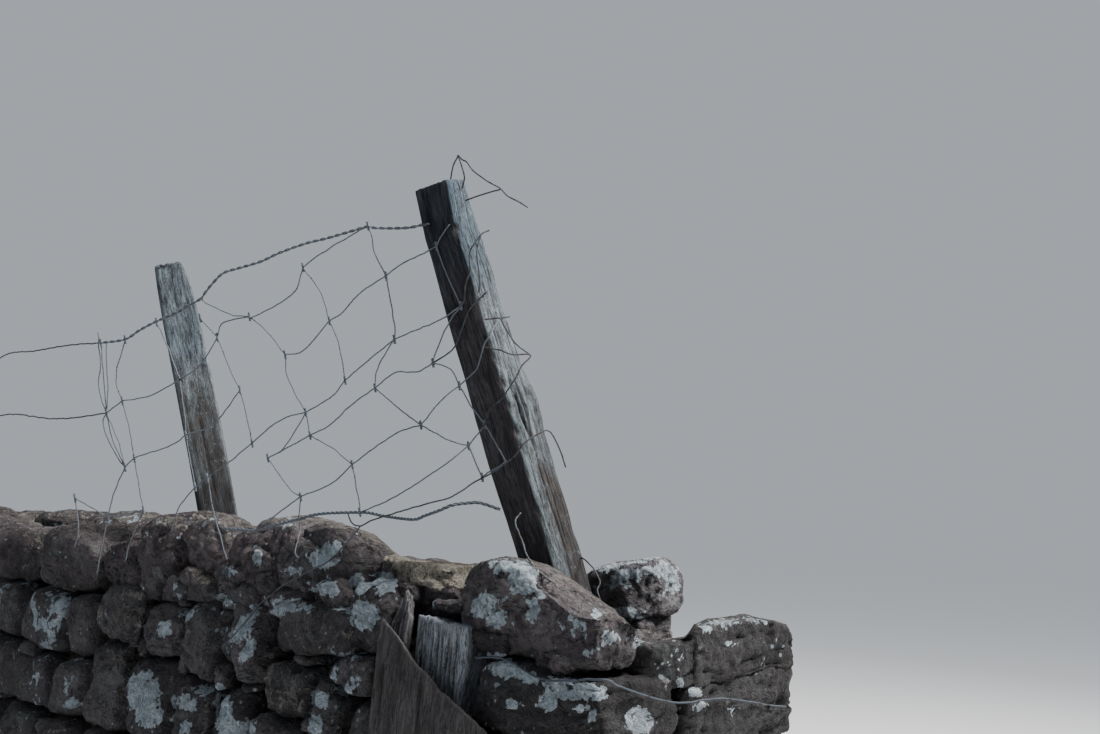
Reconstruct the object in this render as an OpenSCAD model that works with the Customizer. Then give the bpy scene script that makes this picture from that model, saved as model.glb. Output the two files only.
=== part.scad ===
// Dry-stone wall end with a leaning post-and-netting fence along its top
// and the timber remains of an old stile in its front face.
// Millimetres. X runs along the wall, Y points to its back, Z is up.
// The origin is on the underside of the footing, at the middle of the wall.

/* [Wall] */
// Length of the wall
wall_length = 2600; // [2400:50:3200]
// Height of the built courses, up to the bed of the top stones
course_top = 1150; // [1100:10:1180]
// Width of the wall at its base, above the footing
base_width = 650; // [600:10:700]
// Width of the wall at the bed of the top stones
top_width = 380; // [360:5:420]
// Height of the footing stones
footing_height = 120; // [80:10:160]
// How far the footing stands proud of the faces
footing_step = 15; // [5:5:30]
// Thickness of a face skin, measured at the top
skin = 120; // [100:5:130]
// Length of the built wall head at the right end
head_length = 190; // [170:5:200]

/* [Posts] */
// Length of post set down inside the wall
post_set = 430; // [350:10:600]
// Room round a post in its socket
socket_play = 3; // [2:1:8]

/* [Timber of the stile] */
// Width of the upright stub
stub_width = 100; // [80:5:105]
// Thickness of the slant-topped board
board_thick = 28; // [20:1:32]
// Width of the slant-topped board
board_width = 236; // [200:2:240]

/* [Wire] */
// Diameter of the netting wire
net_wire = 2.4; // [1.6:0.2:3.4]
// Diameter of the line wires
line_wire = 3.2; // [2.4:0.2:4]

/* [Hidden] */
half = wall_length / 2;
stone_grey = [0.36, 0.35, 0.35];
stone_brown = [0.40, 0.36, 0.32];
stone_pale = [0.55, 0.60, 0.64];
wood_grey = [0.60, 0.58, 0.54];
wood_dark = [0.30, 0.25, 0.21];
steel_dull = [0.50, 0.52, 0.54];

// ---- The drawing plane -------------------------------------------------
// The leaning pieces are set out on an upright plane through the foot of
// the main post, turned 45 degrees to the wall: u runs right, w runs up,
// both from the foot. From there a point goes out along the line of sight
// of someone standing in front, to its real distance d.
turn = 45;
sight = 2140;
FOOT = [1040, -10, 1250];
RIGHT = [cos(turn), sin(turn), 0];
AWAY = [-sin(turn), cos(turn), 0];
UP = [0, 0, 1];
EYE = FOOT - sight * AWAY + 290 * UP;
function at(u, w, d) = EYE + d / sight * (FOOT + u * RIGHT + w * UP - EYE);
function route(pts) = [for (p = pts) at(p[0], p[1], p[2])];

// ---- Small helpers -----------------------------------------------------
function unit(v) = v / max(norm(v), 1e-9);
function wob(n) = sin(n * 73.7 + 11 * sin(n * 31.3));
function half_width(z) = (base_width - (base_width - top_width)
    * (z - footing_height) / (course_top - footing_height)) / 2;

// A wire: one closed tube swept along its route
function tangent(p, i) = unit(p[min(i + 1, len(p) - 1)] - p[max(i - 1, 0)]);
function first_side(t) = unit(cross(t, abs(t[2]) > 0.8 ? [1, 0.2, 0] : [0.1, 0.2, 1]));
module wire(p, d, sides = 5) {
    n = len(p);
    side = [for (i = 0, s = first_side(tangent(p, 0)); i < n;
        i = i + 1, s = i < n ? unit(s - (s * tangent(p, i)) * tangent(p, i)) : s) s];
    ring = [for (i = [0:n - 1], k = [0:sides - 1])
        let (t = tangent(p, i), s = side[i], b = cross(t, s), a = 360 * k / sides)
        p[i] + d / 2 * (cos(a) * s + sin(a) * b)];
    polyhedron(points = ring, faces = concat(
        [[for (k = [0:sides - 1]) k]],
        [for (i = [0:n - 2], k = [0:sides - 1])
            let (a = i * sides + k, b = i * sides + (k + 1) % sides)
            [a, a + sides, b + sides, b]],
        [[for (k = [sides - 1:-1:0]) (n - 1) * sides + k]]
    ));
}
// A twisted knot of netting: a short thick barrel between two points
module knot(a, b, d) {
    hull() {
        translate(a) cube(d * 0.8, center = true);
        translate(b) cube(d * 0.8, center = true);
    }
}
// A rough stone on a flat bed: p is the middle of the bed, s its size
module stone(p, s, spin = 0, k = 1, round = 0.30) {
    r = round * min(s[0], s[1], s[2]);
    translate(p) rotate([0, 0, spin]) hull() {
        for (i = [-1, 1], j = [-1, 1])
            translate([i * s[0] * (0.40 + 0.03 * wob(k + i + 2 * j)),
                j * s[1] * (0.40 + 0.03 * wob(k + 3 * i - j)), 0.5])
                cube([8, 8, 1], center = true);
        for (i = [-1, 1], j = [-1, 1])
            translate([i * (s[0] / 2 - r), j * (s[1] / 2 - r),
                s[2] * (0.46 + 0.06 * wob(k + 5 * i + j))]) sphere(r = r, $fn = 8);
        for (i = [-1, 1], j = [-1, 1])
            translate([i * s[0] * (0.27 + 0.06 * wob(k + 7 * i + 4 * j)),
                j * s[1] * (0.25 + 0.05 * wob(k + 2 * i + 9 * j)),
                s[2] - r - s[2] * 0.05 * (1 + wob(k + 4 * i + 6 * j))])
                sphere(r = r, $fn = 8);
    }
}

// ---- Masonry -----------------------------------------------------------
// A length of the front face's built skin, from the footing to the course top
module skin_front(x0, x1) {
    translate([x0, 0, 0]) rotate([90, 0, 90]) linear_extrude(x1 - x0) polygon([
        [-half_width(footing_height), footing_height],
        [-half_width(course_top), course_top],
        [-half_width(course_top) + skin, course_top],
        [-half_width(footing_height) + skin + 60, footing_height]]);
}
module skin_back(x0, x1) { mirror([0, 1, 0]) skin_front(x0, x1); }
module core() {
    translate([-half + head_length, 0, 0]) rotate([90, 0, 90])
        linear_extrude(wall_length - 2 * head_length) polygon([
            [-half_width(footing_height) + skin + 60, footing_height],
            [-half_width(course_top) + skin, course_top],
            [half_width(course_top) - skin, course_top],
            [half_width(footing_height) - skin - 60, footing_height]]);
}
module head(x0, x1) {
    translate([x0, 0, 0]) rotate([90, 0, 90]) linear_extrude(x1 - x0) polygon([
        [-half_width(footing_height), footing_height],
        [-half_width(course_top), course_top],
        [half_width(course_top), course_top],
        [half_width(footing_height), footing_height]]);
}
// Where the faces are divided into left, middle and right lengths
XA = -390;
XB = 430;
module footing() {
    color(stone_grey) translate([-half, -half_width(footing_height) - footing_step, 0])
        cube([wall_length, 2 * half_width(footing_height) + 2 * footing_step, footing_height]);
}
module front_face_left() { color(stone_grey) skin_front(-half + head_length, XA); }
module front_face_middle() { color(stone_brown) skin_front(XA, XB); }
module front_face_right() {
    color(stone_grey) difference() {
        skin_front(XB, half - head_length);
        stub_slot();
    }
}
module back_face_left() { color(stone_grey) skin_back(-half + head_length, XA); }
module back_face_middle() { color(stone_brown) skin_back(XA, XB); }
module back_face_right() { color(stone_grey) skin_back(XB, half - head_length); }
module hearting() {
    color(stone_brown) difference() {
        core();
        main_socket();
        second_socket();
        third_socket();
    }
}
module right_head() { color(stone_grey) head(half - head_length, half); }
module left_head() { color(stone_grey) head(-half, -half + head_length); }

// ---- Posts -------------------------------------------------------------
// A post is a square timber. Its nearest arris runs from F to T. Each row is
// [share of that line, bend of the arris, left face, right face], where the
// two faces are as wide as they look from the drawing plane.
MAIN_F = at(14, -7, 2095);
MAIN_T = at(-143, 564, 2095);
MAIN_ROWS = [[0, 0, 51, 43], [0.07, 1, 51, 42], [0.185, 1, 51, 41],
    [0.305, 0, 54, 41], [0.44, 1, 56, 38], [0.55, -1, 52, 34],
    [0.667, -2, 52, 30], [0.777, -2, 52, 30], [0.887, -6, 49, 31], [1, 0, 50, 23]];
SECOND_F = at(-485, 70, 2709);
SECOND_T = at(-556, 447, 2709);
SECOND_ROWS = [[0, 0, 18, 62], [0.3, 1, 18, 63], [0.55, 0, 17, 63],
    [0.8, -1, 16, 62], [0.93, 0, 14, 56], [1, 2, 12, 46]];
THIRD_F = [-800, -45, 1250];
THIRD_T = [-870, -95, 1700];
THIRD_ROWS = [[0, 0, 30, 50], [0.4, 2, 29, 49], [0.75, -1, 28, 46],
    [0.93, 0, 26, 43], [1, 3, 20, 36]];
function post_ring(f, t, row) = let (
        a = unit(t - f),
        q = unit(cross(a, AWAY)) * (cross(a, AWAY) * RIGHT > 0 ? 1 : -1),
        g = unit(cross(q, a)) * (cross(q, a) * AWAY > 0 ? 1 : -1),
        m = f + row[0] * (t - f) + row[1] * q)
    [m, m + row[3] * q + row[2] * g,
        m + (row[3] - row[2]) * q + (row[2] + row[3]) * g,
        m - row[2] * q + row[3] * g];
module lofted(rings) {
    n = len(rings);
    polyhedron(points = [for (r = rings, p = r) p], faces = concat(
        [[0, 1, 2, 3]],
        [for (i = [0:n - 2], k = [0:3])
            let (a = 4 * i + k, b = 4 * i + (k + 1) % 4) [a, a + 4, b + 4, b]],
        [[4 * n - 1, 4 * n - 2, 4 * n - 3, 4 * n - 4]]
    ));
}
module post(f, t, rows) {
    down = -post_set / norm(t - f);
    lofted(concat([post_ring(f, t, [down, 0, rows[0][2], rows[0][3]])],
        [for (r = rows) post_ring(f, t, r)]));
}
// The room that a post takes up in the masonry round its foot
module post_socket(f, t, l, r) {
    down = -(post_set + 0.5) / norm(t - f);
    rings = [for (s = [down, 0.3]) let (g = post_ring(f, t, [s, 0, l, r]),
        c = (g[0] + g[1] + g[2] + g[3]) / 4)
        [for (k = [0:3]) g[k] + socket_play * 1.4 * unit(g[k] - c)]];
    lofted(rings);
}
module main_socket() { post_socket(MAIN_F, MAIN_T, 51, 43); }
module second_socket() { post_socket(SECOND_F, SECOND_T, 18, 63); }
module third_socket() { post_socket(THIRD_F, THIRD_T, 30, 50); }
module main_post() { color(wood_grey) post(MAIN_F, MAIN_T, MAIN_ROWS); }
module second_post() { color(wood_grey) post(SECOND_F, SECOND_T, SECOND_ROWS); }
module third_post() { color(wood_grey) post(THIRD_F, THIRD_T, THIRD_ROWS); }

// ---- Top stones --------------------------------------------------------
module boulder_a() {
    color(stone_grey) difference() {
        stone([310, -86, course_top], [232, 172, 168], 3, 3);
        second_socket();
    }
}
module boulder_b() { color(stone_brown) stone([622, -88, course_top], [330, 176, 178], -2, 9); }
module saddle_stones() {
    color(stone_brown) difference() {
        union() {
            stone([122, -90, course_top], [132, 150, 150], 4, 13);
            stone([850, -98, course_top], [116, 140, 126], -3, 15);
            stone([950, -80, course_top], [92, 108, 122], 3, 14);
            stone([950, 30, course_top], [86, 84, 80], 12, 17);
        }
        second_socket();
        stub_slot();
    }
}
// The large stone at the main post's foot, high at its left and falling away
// to the right end of the wall
module foot_stone() {
    hull() {
        stone([1102, -113, course_top], [176, 136, 154], 5, 21);
        stone([1258, -137, course_top], [84, 84, 70], -4, 26, 0.24);
    }
}
module boulder_c() {
    color(stone_pale) difference() {
        foot_stone();
        main_socket();
        stub_slot();
    }
}
module low_stone() {
    color(stone_grey) difference() {
        stone([1260, -52, course_top], [80, 78, 50], 0, 26, 0.14);
        foot_stone();
    }
}
module corner_stone() {
    color(stone_grey) difference() {
        stone([1150, 18, course_top], [84, 76, 50], 4, 33, 0.22);
        main_socket();
    }
}
module end_block() { color(stone_grey) stone([1245, 95, course_top], [108, 204, 60], 0, 37, 0.12); }
module back_stone() { color(stone_pale) stone([1074, 118, course_top], [158, 112, 134], -6, 41, 0.22); }
module cope_left_front() {
    color(stone_grey) difference() {
        for (i = [0:5])
            stone([-1198 + 228 * i + 6 * wob(i), -95 + 6 * wob(i + 4), course_top],
                [204 + 12 * wob(i + 9), 165 + 10 * wob(i + 2), 118 + 22 * wob(i + 5)],
                5 * wob(i + 7), 50 + i);
        third_socket();
    }
}
module cope_left_back() {
    color(stone_brown) difference() {
        for (i = [0:7])
            stone([-1190 + 222 * i + 6 * wob(i + 3), 100 + 5 * wob(i + 1), course_top],
                [200 + 12 * wob(i + 6), 152 + 8 * wob(i + 8), 98 + 14 * wob(i + 2)],
                4 * wob(i + 5), 70 + i);
        second_socket();
        third_socket();
    }
}
module cope_right_back() {
    color(stone_grey) {
        stone([588, 102, course_top], [190, 148, 92], 3, 81);
        stone([776, 106, course_top], [160, 142, 86], -5, 84);
        stone([926, 128, course_top], [122, 104, 72], 4, 87);
    }
}

// ---- Timber remains of the stile ---------------------------------------
STUB_X = 960;
lean = atan((base_width - top_width) / 2 / (course_top - footing_height));
module on_face(x, z) {
    translate([x, -half_width(z), z]) rotate([-lean, 0, 0]) children();
}
module stub_slot() {
    on_face(STUB_X - 60, 640) translate([0, -30, -1]) cube([stub_width + 64, 104, 700]);
}
module stile_stub() {
    color(wood_grey) on_face(STUB_X, 640) cube([stub_width, 70, 582]);
}
module stile_splinter() {
    color(wood_grey) on_face(STUB_X - 57, 640) translate([0, 20, 0]) rotate([90, 0, 0])
        linear_extrude(11) polygon([[0, 0], [28, 0], [28, 604], [22, 612], [16, 616], [10, 604], [2, 556]]);
}
module slant_board() {
    color(wood_dark) translate([908, -half_width(footing_height) - 0.5, footing_height])
        rotate([-lean, 0, 0]) rotate([90, 0, 0]) linear_extrude(board_thick)
            polygon([[0, 2], [board_width, 2], [board_width, 981],
            [192, 1000], [160, 1013], [139, 1020], [112, 1038], [86, 1048], [63, 1064], [42, 1080], [12, 1098], [0, 1088]]);
}

// ---- Netting -----------------------------------------------------------
// Distance of the hanging sheet for each u, and how far its foot comes
// forward over the top stones
SHEET = [[-700, 2800], [-630, 2760], [-560, 2715], [-480, 2665], [-420, 2580],
    [-350, 2440], [-270, 2290], [-200, 2165], [-150, 2112], [-90, 2118]];
function hang(u, w) = lookup(u, SHEET)
    - max(0, 170 - w) * 1.2 * min(1, max(0, (-u - 230) / 150));
// Distance of the main post's two near faces, for the wires that lie over them
function post_face(u, w) = let (over = u - (14 - 157 * (w + 7) / 571))
    2095 + (over < 0 ? -0.68 * over : 1.15 * over);
function net(p) = at(p[0], p[1], len(p) == 3 ? p[2] : min(hang(p[0], p[1]), post_face(p[0], p[1]) - 3));
// Knots, [u, w]
T1 = [-255, 503]; T0 = [-178, 505]; P0 = [-159, 475]; P1 = [-125, 391];
A1 = [-230, 433]; A2 = [-218, 344]; M1 = [-245, 276]; N1 = [-181, 224];
Q1 = [-164, 311]; R1 = [-127, 279]; R2 = [-91, 225]; R3 = [-114, 195]; R4 = [-95, 151];
B0 = [-346, 445]; B1 = [-309, 370]; B2 = [-287, 287]; B3 = [-336, 210];
B4 = [-277, 169]; S1 = [-266, 102];
C0 = [-421, 376]; C1 = [-371, 323]; C2 = [-342, 242]; C3 = [-395, 178]; C4 = [-349, 124];
L0 = [-488, 402]; D0 = [-490, 374]; DD = [-466, 347]; D1 = [-434, 273];
D2 = [-417, 199]; D3 = [-480, 150];
E0 = [-551, 368]; E1 = [-519, 287]; E2 = [-510, 210]; E3 = [-497, 137];
F0 = [-595, 344]; F1 = [-599, 258]; F2 = [-582, 178]; F3 = [-569, 105];
G0 = [-629, 339]; G1 = [-621, 241]; G2 = [-595, 165]; G3 = [-619, 95]; H0 = [-665, 122];
RIGHT_STRANDS = [
    [T1, [-248, 483], [-246, 466], A1], [P0, [-176, 465], [-206, 451], A1],
    [P0, [-151, 491], [-141, 505]], [P0, [-147, 440], P1],
    [A1, [-266, 409], [-291, 382], B1], [A1, [-223, 395], [-217, 357], A2],
    [P1, [-154, 371], [-202, 351], A2], [P1, [-143, 365], [-160, 326], Q1],
    [A2, [-249, 319], B2], [A2, [-237, 314], [-244, 293], M1],
    [M1, [-217, 297], [-185, 299], Q1], [M1, [-210, 246], N1],
    [M1, [-281, 250], [-308, 224], B3], [Q1, [-139, 302], R1],
    [R1, [-102, 304], [-94, 333], [-86, 348], [-70, 374]], [R1, [-151, 260], N1],
    [R1, [-109, 249], R2], [R2, [-62, 173]], [R2, R3],
    [N1, [-209, 215], [-241, 196], B4], [N1, [-139, 202], R3],
    [R3, [-151, 166], [-218, 123], S1], [R3, R4], [R4, [-62, 173]]
];
LEFT_STRANDS = [
    [T1, [-284, 487], [-329, 459], B0], [B0, [-321, 409], B1],
    [B0, [-361, 407], [-413, 377], C0], [B1, [-295, 336], B2],
    [B1, [-346, 328], C1], [B2, [-304, 265], C2], [B3, C2],
    [B3, [-359, 197], C3], [B3, [-305, 192], B4], [B4, [-268, 120], S1],
    [B4, [-308, 141], C4], [C0, [-447, 379], [-482, 395], L0],
    [C0, [-458, 367], DD], [C0, [-397, 356], C1], [C1, [-367, 290], C2],
    [C2, [-379, 230], D2], [C2, [-372, 193], C3], [C3, [-365, 136], C4],
    [C4, [-412, 77]], [D0, DD], [DD, [-451, 309], D1], [DD, [-490, 308], E1],
    [D1, [-424, 235], D2], [D1, [-472, 225], E2], [D2, [-447, 174], D3],
    [D3, E3], [E0, [-532, 325], E1], [E1, [-561, 265], F1],
    [E1, [-512, 240], E2], [E2, [-531, 196], F2], [E2, E3],
    [F0, [-608, 291], F1], [F1, [-589, 220], F2], [F2, [-575, 137], F3],
    [F1, G1], [F2, G2], [F3, G3], [G0, [-625, 290], G1],
    [G1, [-604, 200], G2], [G2, [-610, 130], G3], [G3, H0],
    [G3, [-628, 50], [-634, 16]], [F3, [-588, 60], [-594, 34]],
    [E3, [-520, 108], [-530, 74]], [H0, [-660, 78], [-666, 52]],
    [D3, [-470, 100], [-452, 36]],
    [[-633, 354], [-632, 334], [-630, 307], [-632, 280], [-627, 256], G1],
    [[-621, 339], [-621, 307], [-619, 276], G1], [G1, [-613, 205], G2],
    [G1, [-626, 228], [-619, 205], [-604, 176], G2],
    [C4, [-351, 98], [-351, 72, 2320], [-357, 47, 2270], [-352, 38, 2265]]
];
module strands(list, d) { for (s = list) wire([for (p = s) net(p)], d); }
module knots(list, d) {
    for (p = list) knot(net(p + [0, 7]), net(p - [0, 7]), d);
}
module netting_right() {
    color(steel_dull) union() {
        strands(RIGHT_STRANDS, net_wire);
        knots([T1, P0, P1, A1, A2, M1, N1, Q1, R1, R2, R3, R4], net_wire * 1.9);
    }
}
module netting_left() {
    color(steel_dull) union() {
        strands(LEFT_STRANDS, net_wire);
        knots([B0, B1, B2, B3, B4, S1, C0, C1, C2, C3, C4, D0, DD, D1, D2, D3,
            E0, E1, E2, E3, F0, F1, F2, F3, G0, G1, G2, G3, H0], net_wire * 1.9);
    }
}
module top_selvedge() {
    color(steel_dull) {
        wire([for (p = [[-176, 505], [-202, 500], [-244, 500], [-255, 502], [-280, 495],
            [-311, 486], [-343, 478], [-379, 465], [-405, 453], [-435, 444],
            [-457, 437], [-471, 424], [-483, 409], [-488, 401]]) net(p) - 2 * AWAY], net_wire * 1.3);
        wire([for (p = [[-488, 401], [-504, 392], [-521, 382], [-551, 369],
            [-574, 357], [-595, 344], [-629, 339]]) net(p) - 3 * AWAY], net_wire * 1.3);
    }
}
module bottom_selvedge() {
    color(steel_dull) wire([for (p = [[-70, 106], [-97, 115], [-115, 115], [-137, 112],
        [-154, 105], [-176, 97], [-192, 92], [-232, 97], [-251, 101], [-266, 102],
        [-308, 101], [-333, 98], [-353, 92], [-389, 83], [-412, 77], [-458, 80]])
        net(p) - 2 * AWAY], net_wire * 1.5);
}
module line_wires() {
    color(steel_dull) {
        wire([at(-629, 339, 2757), at(-672, 336, 2830), at(-720, 328, 2960),
            at(-770, 318, 3230), [-700, -62, 1492], [-832, -74, 1500], [-846, -70, 1502]], line_wire);
        wire([at(-621, 241, 2757), at(-660, 235, 2810), at(-700, 233, 2940),
            at(-770, 237, 3230), [-700, -60, 1392], [-818, -68, 1400], [-832, -64, 1402]], line_wire);
    }
}

// ---- Wires on the main post --------------------------------------------
module top_loop() {
    color(steel_dull) {
        wire(route([[-120, 571, 2120], [-124, 588, 2112], [-129, 602, 2106], [-123, 596, 2100],
            [-116, 592, 2092], [-108, 581, 2086], [-88, 566, 2080], [-70, 556, 2078],
            [-59, 545, 2080], [-42, 536, 2084], [-31, 529, 2088]]), net_wire);
        wire(route([[-109, 542, 2098], [-92, 548, 2086], [-70, 554, 2078]]), net_wire);
        wire(route([[-139, 570, 2120], [-136, 586, 2112], [-129, 601, 2106]]), net_wire);
    }
}
module post_ties() {
    color(steel_dull) {
        wire(route([[-85, 497, 2094], [-94, 493, 2088], [-102, 484, 2086], [-111, 470, 2086],
            [-113, 458, 2088], [-112, 440, 2090], [-118, 423, 2096], [-120, 399, 2106], [-125, 391, 2110]]), net_wire);
        wire(route([[-97, 489, 2090], [-101, 475, 2086], [-102, 459, 2084], [-99, 435, 2084],
            [-98, 421, 2086], [-100, 410, 2090]]), net_wire);
        wire(route([[-92, 405, 2086], [-102, 399, 2092], [-116, 379, 2104], [-132, 336, 2118],
            [-148, 321, 2124], [-164, 311, 2134]]), net_wire);
    }
}
module knee_ties() {
    color(steel_dull) {
        wire(route([[-91, 372, 2090], [-70, 374, 2084], [-56, 376, 2088]]), net_wire);
        wire(route([[-70, 374, 2082], [-56, 350, 2082], [-46, 336, 2082], [-27, 322, 2086]]), net_wire);
        wire(route([[-91, 333, 2100], [-70, 329, 2086], [-53, 323, 2078], [-27, 322, 2084],
            [-39, 307, 2080], [-48, 290, 2078], [-59, 273, 2084], [-68, 260, 2092],
            [-84, 246, 2104], [-91, 225, 2114]]), net_wire);
    }
}
module loose_ends() {
    color(steel_dull) {
        wire(route([[-6, 217, 2092], [-21, 209, 2084], [-36, 199, 2080], [-49, 181, 2082],
            [-64, 169, 2090], [-81, 157, 2100], [-106, 144, 2112], [-137, 124, 2108],
            [-179, 112, 2120], [-223, 99, 2180], [-251, 90, 2226], [-265, 83, 2240],
            [-275, 85, 2250], [-280, 92, 2256]]), net_wire);
        wire(route([[-6, 217, 2094], [2, 213, 2098], [13, 192, 2100], [22, 165, 2100]]), net_wire);
        wire(route([[-265, 83, 2240], [-272, 74, 2234], [-280, 64, 2228], [-293, 50, 2220],
            [-305, 37, 2218], [-319, 28, 2226], [-335, 21, 2238], [-354, 10, 2262], [-375, -1, 2290],
            [-391, -14, 2312], [-404, -25, 2334], [-423, -48, 2344], [-445, -73, 2358],
            [-457, -85, 2370]]), net_wire);
    }
}
module stone_strand() {
    color(steel_dull) wire(route([[-41, 101, 2082], [-48, 92, 2072], [-48, 84, 2062],
        [-43, 71, 2044], [-38, 59, 2020], [-34, 45, 1998], [-25, 29, 1976],
        [-18, 21, 1956], [-10, 14, 1938], [-2, 8, 1929], [6, 1, 1950]]), net_wire * 1.5);
}
module foot_curl() {
    color(steel_dull) wire(route([[48, 36, 2120], [57, 28, 2112], [63, 20, 2104], [70, 4, 2092],
        [66, -7, 2084], [70, -20, 2078]]), net_wire);
}
module face_strand() {
    color(steel_dull) wire([at(-102, -101, 1975), at(-62, -104, 1945), at(-7, -132, 1880),
        at(74, -132, 1815), [1302, -150, 1165], [1309, -60, 1134], [1308, 40, 1124],
        [1307, 140, 1100], [1306, 178, 1092]], line_wire);
}
// A staple: two legs and a crown, driven in round a wire
module staple(a, b) {
    lift = -4 * AWAY;
    knot(a - lift, a + lift, 3);
    knot(a + lift, b + lift, 3);
    knot(b + lift, b - lift, 3);
}
module staples() {
    color(steel_dull) {
        staple(at(-170, 506, 2110), at(-178, 503, 2114));
        staple(at(-88, 411, 2090), at(-95, 404, 2094));
        staple(at(-122, 396, 2108), at(-128, 386, 2112));
        staple(at(-86, 230, 2116), at(-95, 220, 2120));
    }
}

footing();
front_face_left();
front_face_middle();
front_face_right();
back_face_left();
back_face_middle();
back_face_right();
hearting();
right_head();
left_head();
cope_left_front();
cope_left_back();
cope_right_back();
boulder_a();
boulder_b();
saddle_stones();
boulder_c();
low_stone();
end_block();
corner_stone();
back_stone();
main_post();
second_post();
third_post();
stile_stub();
stile_splinter();
slant_board();
netting_right();
netting_left();
top_selvedge();
bottom_selvedge();
line_wires();
top_loop();
post_ties();
knee_ties();
loose_ends();
stone_strand();
foot_curl();
face_strand();
staples();
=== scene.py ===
"""Looks for the dry-stone wall with its leaning posts, wire netting and old stile timbers.
Lengths in the tables are millimetres in the part's frame; meshes are written in metres."""

import math
from functools import lru_cache

import bpy
import numpy as np
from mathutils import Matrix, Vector


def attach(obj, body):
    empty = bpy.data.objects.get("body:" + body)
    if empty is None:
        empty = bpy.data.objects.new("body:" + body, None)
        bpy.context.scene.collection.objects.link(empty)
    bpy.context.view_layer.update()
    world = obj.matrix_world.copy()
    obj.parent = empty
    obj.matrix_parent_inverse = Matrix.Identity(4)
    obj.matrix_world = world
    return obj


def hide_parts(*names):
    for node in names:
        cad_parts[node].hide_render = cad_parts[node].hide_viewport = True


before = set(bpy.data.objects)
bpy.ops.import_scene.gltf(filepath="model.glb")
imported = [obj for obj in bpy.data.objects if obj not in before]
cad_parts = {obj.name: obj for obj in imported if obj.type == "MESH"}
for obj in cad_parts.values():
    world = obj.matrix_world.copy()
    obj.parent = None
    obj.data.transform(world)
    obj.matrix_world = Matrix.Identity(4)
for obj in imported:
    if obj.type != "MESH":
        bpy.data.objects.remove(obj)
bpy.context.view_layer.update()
MM = 0.001

# ---------------------------------------------------------------- the eye and the drawing plane
EYE = np.array([2553.2, -1523.2, 1540.0])
FOOT = np.array([1040.0, -10.0, 1250.0])
RIGHT = np.array([0.70711, 0.70711, 0.0])
AWAY = np.array([-0.70711, 0.70711, 0.0])
UP = np.array([0.0, 0.0, 1.0])
SIGHT = 2140.0
COURSE_TOP = 1150.0
HALF = 1300.0


def at(u, w, d):
    """A point d away along the sight line through (u, w) of the drawing plane."""
    return EYE + d / SIGHT * (FOOT + u * RIGHT + w * UP - EYE)


def seen(p):
    """Picture coordinates of points, and their distance."""
    v = np.asarray(p, float) - EYE
    d = v @ AWAY
    k = SIGHT / np.maximum(d, 1)
    return 550 + (v @ RIGHT) * k / 1.4, 585 - (v[..., 2] * k + 290) / 1.4, d


def half_width(z):
    return 325.0 - 135.0 * (np.asarray(z, float) - 120.0) / 1030.0


def wob(n):
    return math.sin(math.radians(n * 73.7 + 11 * math.sin(math.radians(n * 31.3))))


# ---------------------------------------------------------------- noise
_rng = np.random.default_rng(11)
_PERM = _rng.permutation(256).astype(np.int64)
_GRAD = _rng.normal(size=(256, 3))
_GRAD /= np.linalg.norm(_GRAD, axis=1)[:, None]


def noise(p, seed=0.0):
    """Gradient noise of points, about -1 to 1."""
    p = np.asarray(p, float) + np.array([12.99, 78.23, 37.72]) * (seed % 97 + 1)
    c = np.floor(p)
    f = p - c
    c = c.astype(np.int64)
    w = f * f * f * (f * (f * 6 - 15) + 10)
    out = np.zeros(len(p))
    for dx in (0, 1):
        ax = _PERM[(c[:, 0] + dx) & 255]
        wx = w[:, 0] if dx else 1 - w[:, 0]
        for dy in (0, 1):
            ay = _PERM[(ax + c[:, 1] + dy) & 255]
            wy = wx * (w[:, 1] if dy else 1 - w[:, 1])
            for dz in (0, 1):
                g = _GRAD[_PERM[(ay + c[:, 2] + dz) & 255]]
                dot = g[:, 0] * (f[:, 0] - dx) + g[:, 1] * (f[:, 1] - dy) + g[:, 2] * (f[:, 2] - dz)
                out += wy * (w[:, 2] if dz else 1 - w[:, 2]) * dot
    return out * 1.6


def fbm(p, octaves, seed=0.0, gain=0.5):
    total, amp, norm = 0.0, 1.0, 0.0
    for k in range(octaves):
        total = total + amp * noise(np.asarray(p) * 2.0 ** k, seed + 3 * k)
        norm += amp
        amp *= gain
    return total / norm


def smooth(x, a, b):
    t = np.clip((np.asarray(x, float) - a) / (b - a), 0, 1)
    return t * t * (3 - 2 * t)


# ---------------------------------------------------------------- meshes
@lru_cache(maxsize=None)
def box_grid(nx, ny, nz):
    """Points on the surface of the cube from -1 to 1, and its quads, facing out."""
    i, j, k = np.meshgrid(np.arange(nx + 1), np.arange(ny + 1), np.arange(nz + 1), indexing="ij")
    surf = (i == 0) | (i == nx) | (j == 0) | (j == ny) | (k == 0) | (k == nz)
    idx = -np.ones(surf.shape, int)
    idx[surf] = np.arange(surf.sum())
    abc = np.stack([2 * i[surf] / nx - 1, 2 * j[surf] / ny - 1, 2 * k[surf] / nz - 1], 1)
    quads = []

    def side(a, flip):
        q = np.stack([a[:-1, :-1], a[1:, :-1], a[1:, 1:], a[:-1, 1:]], -1).reshape(-1, 4)
        quads.append(q[:, ::-1] if flip else q)

    side(idx[:, :, 0], True)
    side(idx[:, :, nz], False)
    side(idx[:, 0, :], False)
    side(idx[:, ny, :], True)
    side(idx[0, :, :], True)
    side(idx[nx, :, :], False)
    return abc, np.concatenate(quads)


def vertex_normals(v, q):
    n = np.cross(v[q[:, 2]] - v[q[:, 0]], v[q[:, 3]] - v[q[:, 1]])
    out = np.zeros_like(v)
    for k in range(4):
        for c in range(3):
            out[:, c] += np.bincount(q[:, k], n[:, c], len(v))
    return out / np.maximum(np.linalg.norm(out, axis=1), 1e-12)[:, None]


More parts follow.
